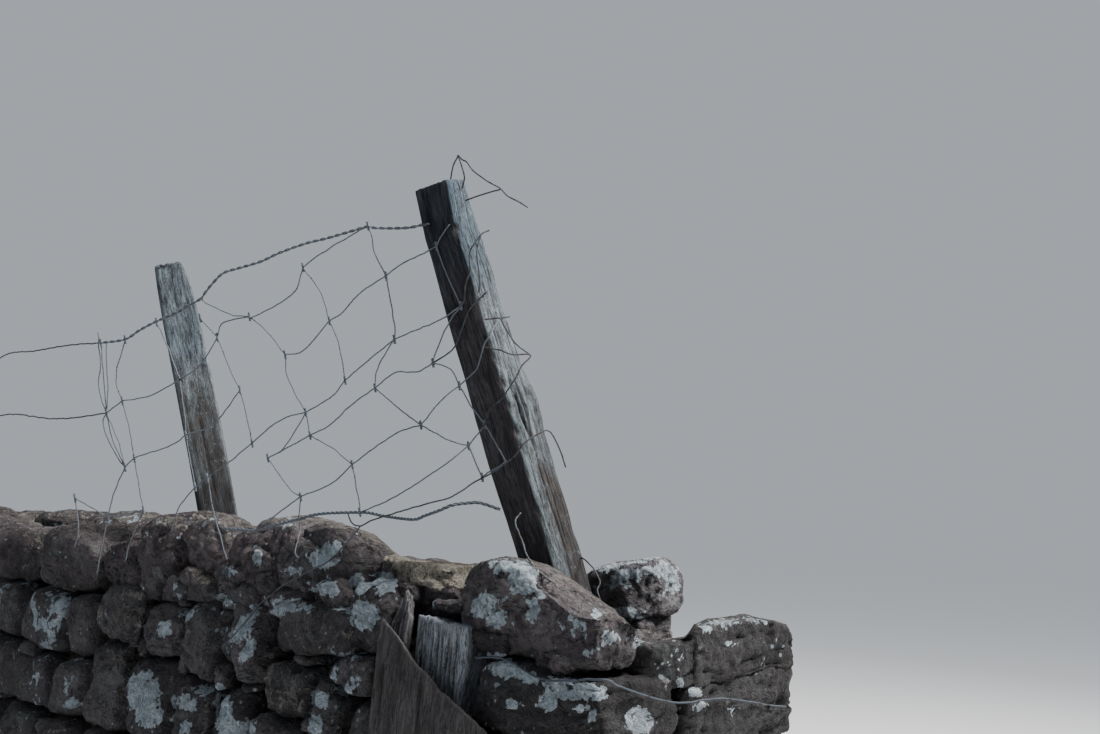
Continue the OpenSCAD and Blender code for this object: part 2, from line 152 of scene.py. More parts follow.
class Soup:
    """Collects vertices, faces and point attributes of one piece."""

    def __init__(self):
        self.v, self.q, self.t, self.a, self.n = [], [], [], {}, 0

    def add(self, v, q, tris=None, **attrs):
        self.v.append(v)
        self.q.append(q + self.n)
        if tris is not None and len(tris):
            self.t.append(np.asarray(tris) + self.n)
        for key, value in attrs.items():
            value = np.asarray(value, float)
            if value.ndim == 0:
                value = np.full(len(v), float(value))
            self.a.setdefault(key, []).append(value)
        self.n += len(v)

    def build(self, name, material, slot, replaces=(), flat=False):
        v = np.concatenate(self.v) * MM
        q = np.concatenate(self.q) if self.q else np.zeros((0, 4), int)
        faces = q.tolist()
        if self.t:
            faces += np.concatenate(self.t).tolist()
        me = bpy.data.meshes.new(name)
        me.from_pydata(v.tolist(), [], faces)
        me.update()
        if not flat:
            me.polygons.foreach_set("use_smooth", np.ones(len(me.polygons), bool))
        for key, parts in self.a.items():
            value = np.concatenate(parts)
            if value.ndim == 1:
                me.attributes.new(key, "FLOAT", "POINT").data.foreach_set("value", value.astype(np.float32))
            else:
                me.attributes.new(key, "FLOAT_VECTOR", "POINT").data.foreach_set("vector", value.astype(np.float32).ravel())
        me.materials.append(material)
        o = bpy.data.objects.new(name, me)
        bpy.context.scene.collection.objects.link(o)
        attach(o, "root")
        if replaces:
            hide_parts(*replaces)
        PIECES[name] = 2 * len(q) + sum(len(t) for t in self.t)
        return o


PIECES = {}

# ---------------------------------------------------------------- materials


class Mat:
    """A small helper that builds a node tree round one principled shader."""

    def __init__(self, name):
        self.m = bpy.data.materials.new(name)
        self.m.use_nodes = True
        self.t = self.m.node_tree
        self.t.nodes.clear()
        self.out = self.t.nodes.new("ShaderNodeOutputMaterial")
        self.b = self.t.nodes.new("ShaderNodeBsdfPrincipled")
        self.t.links.new(self.b.outputs[0], self.out.inputs[0])

    def put(self, socket, value):
        if isinstance(value, bpy.types.NodeSocket):
            self.t.links.new(value, socket)
        elif isinstance(value, (tuple, list)) and socket.type == "RGBA" and len(value) == 3:
            socket.default_value = (*value, 1.0)
        else:
            socket.default_value = value

    def set(self, **values):
        for key, value in values.items():
            self.put(self.b.inputs[key.replace("_", " ")], value)

    def attr(self, name, vector=False):
        n = self.t.nodes.new("ShaderNodeAttribute")
        n.attribute_type = "GEOMETRY"
        n.attribute_name = name
        return n.outputs["Vector" if vector else "Fac"]

    def place(self):
        return self.t.nodes.new("ShaderNodeTexCoord").outputs["Object"]

    def math(self, op, a, b=0.0, clamp=False):
        n = self.t.nodes.new("ShaderNodeMath")
        n.operation = op
        n.use_clamp = clamp
        self.put(n.inputs[0], a)
        self.put(n.inputs[1], b)
        return n.outputs[0]

    def vec(self, op, a, b):
        n = self.t.nodes.new("ShaderNodeVectorMath")
        n.operation = op
        self.put(n.inputs[0], a)
        self.put(n.inputs[1], b)
        return n.outputs[0]

    def combine(self, x, y, z):
        n = self.t.nodes.new("ShaderNodeCombineXYZ")
        for s, value in zip(n.inputs, (x, y, z)):
            self.put(s, value)
        return n.outputs[0]

    def noise(self, vec, scale, detail=3.0, rough=0.55, distort=0.0):
        n = self.t.nodes.new("ShaderNodeTexNoise")
        self.put(n.inputs["Vector"], vec)
        n.inputs["Scale"].default_value = scale
        n.inputs["Detail"].default_value = detail
        n.inputs["Roughness"].default_value = rough
        n.inputs["Distortion"].default_value = distort
        return n.outputs[0]

    def voronoi(self, vec, scale, feature="F1", detail=0.0):
        n = self.t.nodes.new("ShaderNodeTexVoronoi")
        n.feature = feature
        self.put(n.inputs["Vector"], vec)
        n.inputs["Scale"].default_value = scale
        n.inputs["Detail"].default_value = detail
        return n.outputs[0]

    def mix(self, fac, a, b, mode="MIX"):
        n = self.t.nodes.new("ShaderNodeMix")
        n.data_type = "RGBA"
        n.blend_type = mode
        self.put(n.inputs[0], fac)
        self.put(n.inputs[6], a)
        self.put(n.inputs[7], b)
        return n.outputs[2]

    def step(self, value, a, b, low=0.0, high=1.0, kind="SMOOTHSTEP"):
        n = self.t.nodes.new("ShaderNodeMapRange")
        n.interpolation_type = kind
        self.put(n.inputs[0], value)
        for s, x in zip(n.inputs[1:5], (a, b, low, high)):
            s.default_value = x
        return n.outputs[0]

    def ramp(self, fac, stops):
        n = self.t.nodes.new("ShaderNodeValToRGB")
        e = n.color_ramp.elements
        while len(e) > 1:
            e.remove(e[-1])
        e[0].position, e[0].color = stops[0][0], (*stops[0][1], 1)
        for pos, col in stops[1:]:
            x = e.new(pos)
            x.color = (*col, 1)
        self.put(n.inputs[0], fac)
        return n.outputs[0]

    def bump(self, height, distance, strength=1.0, normal=None):
        n = self.t.nodes.new("ShaderNodeBump")
        n.inputs["Strength"].default_value = strength
        n.inputs["Distance"].default_value = distance
        self.put(n.inputs["Height"], height)
        if normal is not None:
            self.put(n.inputs["Normal"], normal)
        return n.outputs[0]


def stone_material(name, warm=0.0, pale=0.0, straw=0.0, dim=0.0):
    """Dark field stone with pale lichen crusts and dry moss, and painted shade with grime in its joints, recesses and
    undersides.
    """
    m = Mat(name)
    tone = m.attr("tone")
    p = m.vec("ADD", m.place(), m.combine(m.math("MULTIPLY", tone, 13.0), m.math("MULTIPLY", tone, 7.0), m.math("MULTIPLY", tone, 29.0)))
    big = m.noise(p, 8.0, 4.0, 0.6, 0.4)
    mid = m.noise(p, 34.0, 6.0, 0.62, 0.3)
    lace = m.noise(m.vec("ADD", p, (4.7, 1.3, 8.8)), 72.0, 5.0, 0.66, 0.5)
    fine = m.noise(p, 160.0, 5.0, 0.7)
    grit = m.noise(p, 640.0, 2.0, 0.6)
    body = m.math("ADD", m.math("MULTIPLY", big, 0.34), m.math("ADD", m.math("MULTIPLY", lace, 0.36), m.math("MULTIPLY", fine, 0.30)))
    rock = m.ramp(body, [
        (0.33, (0.008, 0.008, 0.009)),
        (0.43, (0.027 + 0.003 * warm, 0.025, 0.028)),
        (0.51, (0.056 + 0.005 * warm, 0.051, 0.055)),
        (0.60, (0.104 + 0.006 * warm, 0.098, 0.100)),
        (0.72, (0.195, 0.190, 0.188)),
    ])
    # each stone leans to grey or to purple-brown, lighter or darker
    rock = m.mix(m.step(tone, 0.30, 0.80, 0.0, 0.65), rock, m.mix(1.0, rock, (1.05, 0.965, 0.985), "MULTIPLY"))
    rock = m.mix(1.0, rock, m.ramp(m.math("FRACT", m.math("MULTIPLY", tone, 7.3)), [(0.0, (0.70, 0.70, 0.71)), (0.5, (1.0, 1.0, 1.0)), (1.0, (1.30, 1.28, 1.26))]), "MULTIPLY")
    rock = m.mix(m.step(m.noise(m.vec("ADD", p, (3.1, 5.7, 1.9)), 17.0, 5.0, 0.62), 0.54, 0.68, 0.0, 0.34), rock, (0.067, 0.057, 0.052))
    rock = m.mix(m.step(m.noise(m.vec("ADD", p, (7.9, 3.3, 5.1)), 22.0, 6.0, 0.7, 0.8), 0.52, 0.62, 0.0, 0.55), rock, (0.090, 0.098, 0.096))
    rock = m.mix(m.step(grit, 0.58, 0.76, 0.0, 0.4), rock, (0.24, 0.24, 0.235))
    rock = m.mix(m.step(grit, 0.44, 0.30, 0.0, 0.6), rock, (0.007, 0.007, 0.008))
    # thin broken cracks and sunken pits
    line = m.noise(m.vec("MULTIPLY", m.vec("ADD", p, (2.2, 8.1, 6.4)), (1.0, 1.0, 1.9)), 15.0, 6.0, 0.62, 0.7)
    crack = m.step(m.math("ABSOLUTE", m.math("SUBTRACT", line, 0.5)), 0.002, 0.016, 1.0, 0.0)
    crack = m.math("MULTIPLY", crack, m.step(m.noise(m.vec("ADD", p, (0.3, 4.6, 9.7)), 9.0, 3.0, 0.55), 0.46, 0.58))
    pits = m.step(m.noise(m.vec("ADD", p, (6.6, 0.9, 3.8)), 118.0, 4.0, 0.6, 0.3), 0.40, 0.33, 0.0, 1.0)
    rock = m.mix(m.math("MULTIPLY", crack, 0.85), rock, (0.006, 0.006, 0.007))
    rock = m.mix(m.math("MULTIPLY", pits, 0.65), rock, m.mix(1.0, rock, (0.30, 0.29, 0.30), "MULTIPLY"))
    # dim darkens the whole rock as painted shade, pale lightens it as painted light
    rock = m.mix(1.0, rock, tuple((1.0 - dim) * (1.0 + 1.2 * pale) for _ in range(3)), "MULTIPLY")
    # earth and dry moss
    mossy = m.math("ADD", m.attr("moss"), m.math("ADD", m.math("MULTIPLY", m.math("SUBTRACT", mid, 0.5), 2.0), m.math("MULTIPLY", m.math("SUBTRACT", lace, 0.5), 1.7)))
    mossy = m.step(mossy, 0.48, 0.66)
    fibre = m.noise(m.vec("MULTIPLY", p, (1.0, 1.0, 0.55)), 210.0, 6.0, 0.80, 2.2)
    moss_col = m.ramp(m.math("ADD", m.math("MULTIPLY", fibre, 0.74), m.math("MULTIPLY", lace, 0.26)), [
        (0.38, (0.014 + 0.022 * straw, 0.012 + 0.019 * straw, 0.011 + 0.014 * straw)),
        (0.45, (0.072 + 0.118 * straw, 0.065 + 0.103 * straw, 0.058 + 0.078 * straw)),
        (0.52, (0.180 + 0.250 * straw, 0.163 + 0.227 * straw, 0.147 + 0.165 * straw)),
        (0.60, (0.390 + 0.350 * straw, 0.362 + 0.330 * straw, 0.330 + 0.270 * straw)),
    ])
    moss_col = m.mix(m.step(m.noise(m.vec("ADD", p, (8.4, 7.2, 0.6)), 30.0, 4.0, 0.6), 0.44, 0.58, 0.0, 0.75 - 0.25 * straw), moss_col, m.mix(1.0, moss_col, (0.62, 0.62, 0.66), "MULTIPLY"))
    col = m.mix(mossy, rock, moss_col)
    # lichen: listed patches first, then a scatter whose amount each stone carries; the edges are lobed
    lobes = m.voronoi(m.vec("ADD", p, m.vec("MULTIPLY", m.combine(mid, lace, mid), (0.02, 0.02, 0.02))), 82.0)
    lump = m.math("ADD", m.math("MULTIPLY", m.math("SUBTRACT", mid, 0.5), 1.15), m.math("MULTIPLY", m.math("SUBTRACT", 0.36, lobes), 0.50))
    lump = m.math("ADD", lump, m.math("MULTIPLY", m.math("SUBTRACT", fine, 0.5), 0.42))
    placed = m.step(m.math("ADD", m.attr("lich"), lump), 0.47, 0.53)
    patch = m.math("ADD", m.noise(m.vec("ADD", p, (9.3, 2.2, 4.4)), 15.0, 4.0, 0.58, 0.6), m.math("MULTIPLY", m.math("SUBTRACT", 0.36, lobes), 0.13))
    patch = m.math("ADD", patch, m.math("MULTIPLY", m.math("SUBTRACT", fine, 0.5), 0.12))
    scatter = m.step(m.math("ADD", patch, m.math("MULTIPLY", m.attr("lamt"), 0.20)), 0.655 - 0.03 * pale, 0.680 - 0.03 * pale)
    spot_on = m.step(m.noise(m.vec("ADD", p, (1.1, 6.2, 3.4)), 13.0, 2.0, 0.5), 0.52, 0.60)
    spots = m.math("MULTIPLY", m.step(m.math("ADD", m.voronoi(p, 62.0), m.math("MULTIPLY", m.math("SUBTRACT", fine, 0.5), 0.25)), 0.20, 0.13), spot_on)
    crust = m.math("MAXIMUM", placed, m.math("MAXIMUM", scatter, m.math("MULTIPLY", spots, 0.75)))
    holes = m.step(m.noise(m.vec("ADD", p, (5.5, 0.4, 2.6)), 62.0, 5.0, 0.62), 0.595, 0.655, 1.0, 0.10)
    warped = m.vec("ADD", p, m.vec("MULTIPLY", m.combine(fine, lace, fine), (0.014, 0.014, 0.014)))
    crackle = m.voronoi(warped, 210.0, "DISTANCE_TO_EDGE")
    lich_col = m.ramp(m.math("ADD", m.math("MULTIPLY", lace, 0.5), m.math("MULTIPLY", fine, 0.5)), [
        (0.38, (0.160, 0.190, 0.215)),
        (0.47, (0.270, 0.318, 0.352)),
        (0.55, (0.385, 0.442, 0.480)),
        (0.66, (0.520, 0.575, 0.605)),
    ])
    lich_col = m.mix(m.step(crackle, 0.08, 0.0, 0.0, 0.42), lich_col, (0.105, 0.120, 0.132))
    lich_col = m.mix(m.step(grit, 0.40, 0.28, 0.0, 0.8), lich_col, (0.045, 0.05, 0.055))
    col = m.mix(m.math("MULTIPLY", crust, holes), col, lich_col)
    # painted shade with grime: darker in the joints, deep in recesses and on the undersides of stones
    shade_and_grime_mask = m.math("MULTIPLY", m.attr("cav"), m.step(mid, 0.25, 0.7, 1.0, 0.7))
    col = m.mix(m.math("MULTIPLY", shade_and_grime_mask, 0.9, True), col, m.mix(1.0, col, (0.19, 0.17, 0.165), "MULTIPLY"))
    m.set(Base_Color=col)
    m.put(m.b.inputs["Roughness"], m.step(fine, 0.3, 0.7, 0.78, 0.96, "LINEAR"))
    m.b.inputs["Specular IOR Level"].default_value = 0.25
    h = m.math("ADD", m.math("MULTIPLY", lace, 0.60), m.math("MULTIPLY", fine, 0.42))
    h = m.math("ADD", h, m.math("MULTIPLY", grit, 0.12))
    h = m.math("SUBTRACT", h, m.math("MULTIPLY", crack, 0.35))
    h = m.math("SUBTRACT", h, m.math("MULTIPLY", pits, 0.30))
    h = m.math("ADD", h, m.math("MULTIPLY", m.math("MULTIPLY", mossy, fibre), 1.25))
    h = m.math("ADD", h, m.math("MULTIPLY", m.math("MULTIPLY", crust, holes), 0.12))
    h = m.math("SUBTRACT", h, m.math("MULTIPLY", m.math("MULTIPLY", crust, m.step(crackle, 0.08, 0.0)), 0.06))
    m.put(m.b.inputs["Normal"], m.bump(h, 0.015, 1.0))
    return m.m


def wood_material(name, light, middle, dark, brown, gap=(0.014, 0.011, 0.010), pale_amount=0.6):
    """Weathered timber. The grain runs along z of the point attribute wg, in metres."""
    m = Mat(name)
    g = m.attr("wg", True)
    bend = m.vec("MULTIPLY", m.combine(m.noise(m.vec("MULTIPLY", g, (1.0, 1.0, 0.5)), 24.0, 4.0), m.noise(m.vec("MULTIPLY", g, (1.0, 1.0, 0.5)), 29.0, 4.0), 0.0), (0.020, 0.020, 0.0))
    gw = m.vec("ADD", g, bend)
    band = m.noise(m.vec("MULTIPLY", gw, (1.0, 1.0, 0.045)), 80.0, 5.0, 0.62, 0.3)
    line = m.noise(m.vec("MULTIPLY", gw, (1.0, 1.0, 0.050)), 430.0, 5.0, 0.72, 0.3)
    hair = m.noise(m.vec("MULTIPLY", gw, (1.0, 1.0, 0.060)), 1300.0, 3.0, 0.7)
    blot = m.noise(m.vec("MULTIPLY", gw, (1.0, 1.0, 0.30)), 46.0, 7.0, 0.70, 0.7)
    patch = m.noise(m.vec("MULTIPLY", gw, (1.0, 1.0, 0.26)), 95.0, 6.0, 0.72, 0.6)
    speck = m.noise(m.vec("MULTIPLY", g, (1.0, 1.0, 0.40)), 560.0, 4.0, 0.78)
    tear = m.noise(m.vec("MULTIPLY", g, (0.5, 0.5, 1.6)), 260.0, 4.0, 0.7, 0.6)
    base = m.ramp(m.math("ADD", m.math("MULTIPLY", line, 0.50), m.math("ADD", m.math("MULTIPLY", band, 0.26), m.math("MULTIPLY", patch, 0.24))), [
        (0.35, gap), (0.42, dark), (0.50, middle), (0.59, light), (0.74, tuple(min(1.0, c * 1.25) for c in light)),
    ])
    base = m.mix(m.step(line, 0.47, 0.38, 0.0, 0.62), base, dark)
    base = m.mix(m.step(hair, 0.47, 0.35, 0.0, 0.70), base, dark)
    base = m.mix(m.step(patch, 0.47, 0.36, 0.0, 0.60), base, dark)
    base = m.mix(m.step(speck, 0.56, 0.68, 0.0, 0.5), base, tuple(min(1.0, c * 1.3) for c in light))
    base = m.mix(m.step(speck, 0.44, 0.33, 0.0, 0.6), base, dark)
    base = m.mix(m.step(tear, 0.40, 0.31, 0.0, 0.55), base, dark)
    stain = m.math("ADD", m.math("MULTIPLY", blot, 0.42), m.math("ADD", m.math("MULTIPLY", patch, 0.28), m.math("MULTIPLY", line, 0.30)))
    stain = m.step(m.math("ADD", stain, m.math("MULTIPLY", m.attr("brown"), 0.105)), 0.535, 0.62, 0.0, 0.88)
    base = m.mix(stain, base, m.ramp(line, [(0.36, tuple(c * 0.16 for c in brown)), (0.48, tuple(c * 0.6 for c in brown)), (0.60, brown), (0.70, tuple(min(1.0, c * 2.0) for c in brown))]))
    # cracks, and the painted shade in gouges, carry their own dark from the mesh; worn edges and painted highlights
    # along lit edges their own light
    base = m.mix(m.math("MULTIPLY", m.attr("wear"), m.step(speck, 0.38, 0.60, 0.35, 1.0)), base, light)
    base = m.mix(m.attr("crack"), base, gap)
    # painted shade: faces marked dark in the mesh turn nearly black
    base = m.mix(m.math("MULTIPLY", m.attr("dark"), m.step(blot, 0.25, 0.75, 1.0, 0.86)), base, m.ramp(m.math("ADD", m.math("MULTIPLY", line, 0.6), m.math("MULTIPLY", blot, 0.4)), [(0.40, (0.009, 0.008, 0.009)), (0.52, (0.029, 0.024, 0.026)), (0.66, (0.078, 0.066, 0.068))]))
    pale = m.math("MULTIPLY", m.step(m.math("ADD", m.noise(g, 52.0, 5.0, 0.7, 0.5), m.math("MULTIPLY", m.math("SUBTRACT", speck, 0.5), 0.5)), 0.62, 0.69), m.math("SUBTRACT", 0.85, m.attr("dark"), True))
    base = m.mix(m.math("MULTIPLY", pale, pale_amount), base, (1.25 * light[0], 1.32 * light[1], 1.30 * light[2]))
    base = m.mix(m.math("MULTIPLY", m.attr("cool"), m.step(blot, 0.30, 0.62, 1.0, 0.55)), base, m.mix(1.0, base, (0.36, 0.50, 0.63), "MULTIPLY"))
    # dim: darker low on the posts; at the second post's foot it is painted shade
    base = m.mix(m.math("MULTIPLY", m.attr("dim"), m.step(patch, 0.34, 0.62, 1.0, 0.45)), base, m.mix(1.0, base, (0.42, 0.38, 0.40), "MULTIPLY"))
    m.set(Base_Color=base)
    m.put(m.b.inputs["Roughness"], m.step(line, 0.3, 0.7, 0.94, 0.74, "LINEAR"))
    m.b.inputs["Specular IOR Level"].default_value = 0.22
    h = m.math("ADD", m.math("MULTIPLY", line, 0.55), m.math("ADD", m.math("MULTIPLY", band, 0.45), m.math("MULTIPLY", hair, 0.20)))
    h = m.math("ADD", h, m.math("ADD", m.math("MULTIPLY", speck, 0.16), m.math("MULTIPLY", patch, 0.30)))
    h = m.math("SUBTRACT", h, m.math("MULTIPLY", m.step(tear, 0.40, 0.31), 0.16))
    m.put(m.b.inputs["Normal"], m.bump(h, 0.0036, 1.0))
    return m.m


def wire_material(name, steel, rust, rusty):
    m = Mat(name)
    p = m.place()
    spots = m.noise(p, 90.0, 5.0, 0.65)
    fine = m.noise(p, 900.0, 3.0, 0.6)
    r = m.step(m.math("ADD", spots, m.math("MULTIPLY", m.math("SUBTRACT", fine, 0.5), 0.3)), 0.62 - rusty, 0.72 - rusty)
    zinc = m.mix(fine, tuple(c * 0.62 for c in steel), steel)
    m.set(Base_Color=m.mix(r, zinc, m.mix(fine, tuple(c * 0.5 for c in rust), rust)))
    m.put(m.b.inputs["Metallic"], m.step(r, 0.0, 1.0, 0.05, 0.0, "LINEAR"))
    m.b.inputs["Specular IOR Level"].default_value = 0.12
    m.put(m.b.inputs["Roughness"], m.step(r, 0.0, 1.0, 0.74, 0.90, "LINEAR"))
    m.put(m.b.inputs["Normal"], m.bump(fine, 0.0004, 0.6))
    return m.m


def rubble_material(name):
    m = Mat(name)
    p = m.place()
    a = m.noise(p, 24.0, 6.0, 0.65)
    b = m.noise(p, 160.0, 5.0, 0.7)
    m.set(Base_Color=m.ramp(m.math("ADD", m.math("MULTIPLY", a, 0.5), m.math("MULTIPLY", b, 0.5)), [
        (0.38, (0.008, 0.006, 0.005)), (0.5, (0.040, 0.031, 0.024)), (0.62, (0.120, 0.096, 0.070))]))
    m.b.inputs["Roughness"].default_value = 0.95
    m.b.inputs["Specular IOR Level"].default_value = 0.15
    m.put(m.b.inputs["Normal"], m.bump(m.math("ADD", a, m.math("MULTIPLY", b, 0.5)), 0.02, 1.0))
    return m.m


STONE = stone_material("field_stone")
STONE_WARM = stone_material("field_stone_warm", 1.0)
# a lighter copy: more lichen scatter, and the rock lightened as painted light for a stone that sits in shade
STONE_PALE_LIT = stone_material("field_stone_pale_lit", 0.2, 1.0)
STONE_STRAW = stone_material("field_stone_straw", 1.0, 0.0, 1.0)
# a darker copy of the stone: painted shade for the built end
STONE_PAINTED_SHADE = stone_material("field_stone_painted_shade", 0.0, 0.0, 0.0, 0.45)
RUBBLE = rubble_material("packed_rubble")
POST_WOOD = wood_material("silver_post_wood", (0.160, 0.190, 0.206), (0.080, 0.094, 0.103), (0.021, 0.023, 0.026), (0.038, 0.030, 0.026), pale_amount=0.45)
BLUE_WOOD = wood_material("grey_post_wood", (0.160, 0.190, 0.208), (0.082, 0.096, 0.106), (0.025, 0.026, 0.029), (0.040, 0.034, 0.031), pale_amount=0.4)
STUB_WOOD = wood_material("grey_stub_wood", (0.285, 0.315, 0.350), (0.140, 0.151, 0.166), (0.040, 0.039, 0.041), (0.070, 0.054, 0.042), pale_amount=0.25)
SPLINTER_WOOD = wood_material("torn_grey_wood", (0.215, 0.222, 0.234), (0.112, 0.110, 0.113), (0.026, 0.024, 0.024), (0.056, 0.046, 0.040), pale_amount=0.2)
DARK_WOOD = wood_material("dark_board_wood", (0.094, 0.086, 0.086), (0.046, 0.041, 0.042), (0.016, 0.014, 0.015), (0.040, 0.031, 0.028), pale_amount=0.0)
WIRE = wire_material("dull_galvanised_wire", (0.128, 0.142, 0.163), (0.070, 0.050, 0.040), 0.03)
STRAND_WIRE = wire_material("stained_galvanised_wire", (0.060, 0.070, 0.086), (0.042, 0.032, 0.027), 0.06)
RUST_WIRE = wire_material("rusted_wire", (0.070, 0.077, 0.089), (0.052, 0.038, 0.030), 0.12)

# ---------------------------------------------------------------- stones


def rough_stone(rng, grid, half, e=3.4, cuts=7, lumpy=1.0, detail=1.0):
    """One stone round the origin: returns points in mm, quads and the unit-box place of each point."""
    abc, q = box_grid(*grid)
    r = (np.abs(abc) ** e).sum(1) ** (1 / e)
    p = abc / r[:, None]
    h = np.asarray(half, float)
    v = p * h
    n = np.sign(p) * np.abs(p) ** (e - 1) / h
    n /= np.linalg.norm(n, axis=1)[:, None]
    size = float(np.cbrt(h.prod()))
    for _ in range(cuts):
        m = rng.normal(size=3)
        m /= np.linalg.norm(m)
        off = np.max(v @ m) * (1 - rng.uniform(0.04, 0.20))
        t = v @ m - off
        s = rng.uniform(0.006, 0.026) * size
        v = v - m * (0.5 * (t + np.sqrt(t * t + s * s)) * 0.96)[:, None]
    o = rng.uniform(-500, 500, 3)
    w = v + o
    w = w + 10.0 * np.stack([noise(w / 54.0, 11), noise(w / 54.0, 12), noise(w / 54.0, 13)], 1)
    d = lumpy * size * (0.070 * noise(w / (1.7 * size), 1) + 0.052 * noise(w / (0.75 * size), 2))
    side = 1 - np.abs(n[:, 2])
    d = d + detail * (3.2 * noise(w / 46.0, 3) + 4.2 * (0.42 - np.abs(noise(w / 50.0, 5)) * 1.7))
    # broken ledges across a tilted direction
    lay = rng.normal(size=3) * (0.45, 0.45, 1.0)
    lay /= np.linalg.norm(lay)
    f = (w @ lay) / rng.uniform(24.0, 40.0) + 0.9 * noise(w / 58.0, 18)
    f = f - np.floor(f)
    d = d + detail * 2.6 * (smooth(f, 0.0, 0.16) - f - 0.40) * smooth(noise(w / 70.0, 19), -0.35, 0.25)
    d = d + detail * side * (1.6 * noise(w / np.array([150.0, 150.0, 15.0]), 6) - 3.4 * (1 - smooth(np.abs(noise(w / np.array([170.0, 170.0, 34.0]), 16)), 0.0, 0.07)))
    if max(grid) > 11:
        d = d + detail * (1.8 * noise(w / 20.0, 4) + 2.6 * (0.36 - np.abs(noise(w / 24.0, 8)) * 1.7))
    if max(grid) > 19:
        d = d + detail * (1.2 * noise(w / 9.5, 7) + 1.7 * (0.36 - np.abs(noise(w / 12.0, 9)) * 1.8) - 2.6 * smooth(noise(w / 13.0, 17), 0.32, 0.58))
    if max(grid) > 30:
        d = d + detail * 0.9 * noise(w / 5.0, 10)
    v = v + n * d[:, None]
    return v, q, p


def wall_stone(soup, rng, quad, front, sign, depth, grid, out=0.0, e=4.2, cuts=5, lumpy=0.8, detail=1.0, lamt=0.0, moss=0.0, tone=None, field=None, cav=1.0):
    """A stone that fills a four-cornered place of a wall face.
    quad: (s, z) of bottom left, bottom right, top right, top left. front(s, z) is the face's own distance from the
    middle, sign -1 for the front face and +1 for the back."""
    quad = np.asarray(quad, float)
    w = 0.25 * (quad[1, 0] + quad[2, 0] - quad[0, 0] - quad[3, 0])
    h = 0.25 * (quad[2, 1] + quad[3, 1] - quad[0, 1] - quad[1, 1])
    half = np.array([2 * w, depth, 2 * h]) / 2
    v, q, p = rough_stone(rng, grid, half, e, cuts, lumpy, detail)
    a, c = v[:, 0] / half[0], v[:, 2] / half[2]
    s, t = (a + 1) / 2, (c + 1) / 2
    x = (1 - t) * ((1 - s) * quad[0, 0] + s * quad[1, 0]) + t * ((1 - s) * quad[3, 0] + s * quad[2, 0])
    z = (1 - t) * ((1 - s) * quad[0, 1] + s * quad[1, 1]) + t * ((1 - s) * quad[3, 1] + s * quad[2, 1])
    y = sign * (front(z) + out) - sign * (v[:, 1] + half[1])
    if sign > 0:
        q = q[:, ::-1]
    v = np.stack([x, y, z], 1)
    deep = (p[:, 1] + 1) / 2
    # painted shade with grime: darker further into the wall and on the stone's lower side
    shade_and_grime_mask = cav * smooth(deep, 0.10, 0.55) + 0.28 * cav * smooth(-p[:, 2], 0.35, 1.0)
    lich = field(v, vertex_normals(v, q)) if field else 0.0
    soup.add(v, q, tone=rng.uniform() if tone is None else tone, cav=np.clip(shade_and_grime_mask, 0, 1), lich=lich,
             lamt=lamt, moss=moss if np.ndim(moss) else np.full(len(v), float(moss)))
    return v


def free_stone(soup, rng, centre, size, grid, spin=0.0, e=3.0, cuts=7, lumpy=1.0, detail=1.0, lamt=0.0, moss=0.0, top=None, tone=None, field=None, cav=0.7, tilt=(0.0, 0.0), moss_z=None, notch=None, shape=None, ridge=None, rim=None):
    """A stone lying by itself, with an optional top profile [(x, z), ...] in the part's frame.
    moss_z: heights between which the moss thins out. notch: (x + y, width, depth) of a groove across the top.
    ridge: line in picture units that the stone stays under. rim: how far under it the moss reaches, from none to full."""
    half = np.asarray(size, float) / 2
    v, q, p = rough_stone(rng, grid, half, e, cuts, lumpy, detail)
    c, s = math.cos(math.radians(spin)), math.sin(math.radians(spin))
    tx, ty = (math.radians(t) for t in tilt)
    v = np.stack([v[:, 0], v[:, 1] * math.cos(tx) - v[:, 2] * math.sin(tx), v[:, 1] * math.sin(tx) + v[:, 2] * math.cos(tx)], 1)
    v = np.stack([v[:, 0] * math.cos(ty) + v[:, 2] * math.sin(ty), v[:, 1], -v[:, 0] * math.sin(ty) + v[:, 2] * math.cos(ty)], 1)
    v = np.stack([v[:, 0] * c - v[:, 1] * s, v[:, 0] * s + v[:, 1] * c, v[:, 2]], 1) + np.asarray(centre, float)
    if top is not None:
        xs, zs = zip(*top)
        want = np.interp(v[:, 0], xs, zs) - centre[2]
        up = v[:, 2] - centre[2]
        k = np.where(up > 0, want / half[2], 1.0)
        v[:, 2] = centre[2] + up * (1 + (k - 1) * smooth(up, 0, 0.5 * half[2]))
    if shape:
        v = shape(v)
    for s0, wide, deep in notch or ():
        up = v[:, 2] - centre[2]
        v[:, 2] -= deep * np.exp(-((v[:, 0] + v[:, 1] - s0) / wide) ** 2) * smooth(up, 0, 0.7 * half[2])
    under = np.zeros(len(v))
    if ridge:
        x, _, d = seen(v)
        lim = EYE[2] - (np.interp(x, *zip(*ridge)) - 377.86) * 1.4 * d / SIGHT + 2.6 * noise(v / 30.0, 71) + 1.8 * noise(v / 11.0, 72) + 1.0 * noise(v / 5.0, 73)
        t = v[:, 2] - lim
        v[:, 2] -= 0.5 * (t + np.sqrt(t * t + 30.0))
        under = v[:, 2] - lim
    n = vertex_normals(v, q)
    # painted shade with grime: darker on the stone's underside
    shade_and_grime_mask = cav * smooth(-p[:, 2], 0.2, 0.95)
    m = np.clip(moss * (0.35 + 0.75 * smooth(n[:, 2], -0.1, 0.8)), 0, 1) if np.ndim(moss) == 0 else moss
    if moss_z:
        m = m * (0.16 + 0.84 * smooth(v[:, 2] + 7 * noise(v / 26.0, 44), *moss_z))
    if rim:
        low = rim[2] if len(rim) > 2 else 0.10
        m = m * (low + (1 - low) * smooth(under + 8 * noise(v / 22.0, 45) + 4 * noise(v / 8.0, 46), *rim[:2]))
    lich = field(v, n) if field else 0.0
    soup.add(v, q, tone=rng.uniform() if tone is None else tone, cav=shade_and_grime_mask, lich=lich, lamt=lamt, moss=m)
    return v


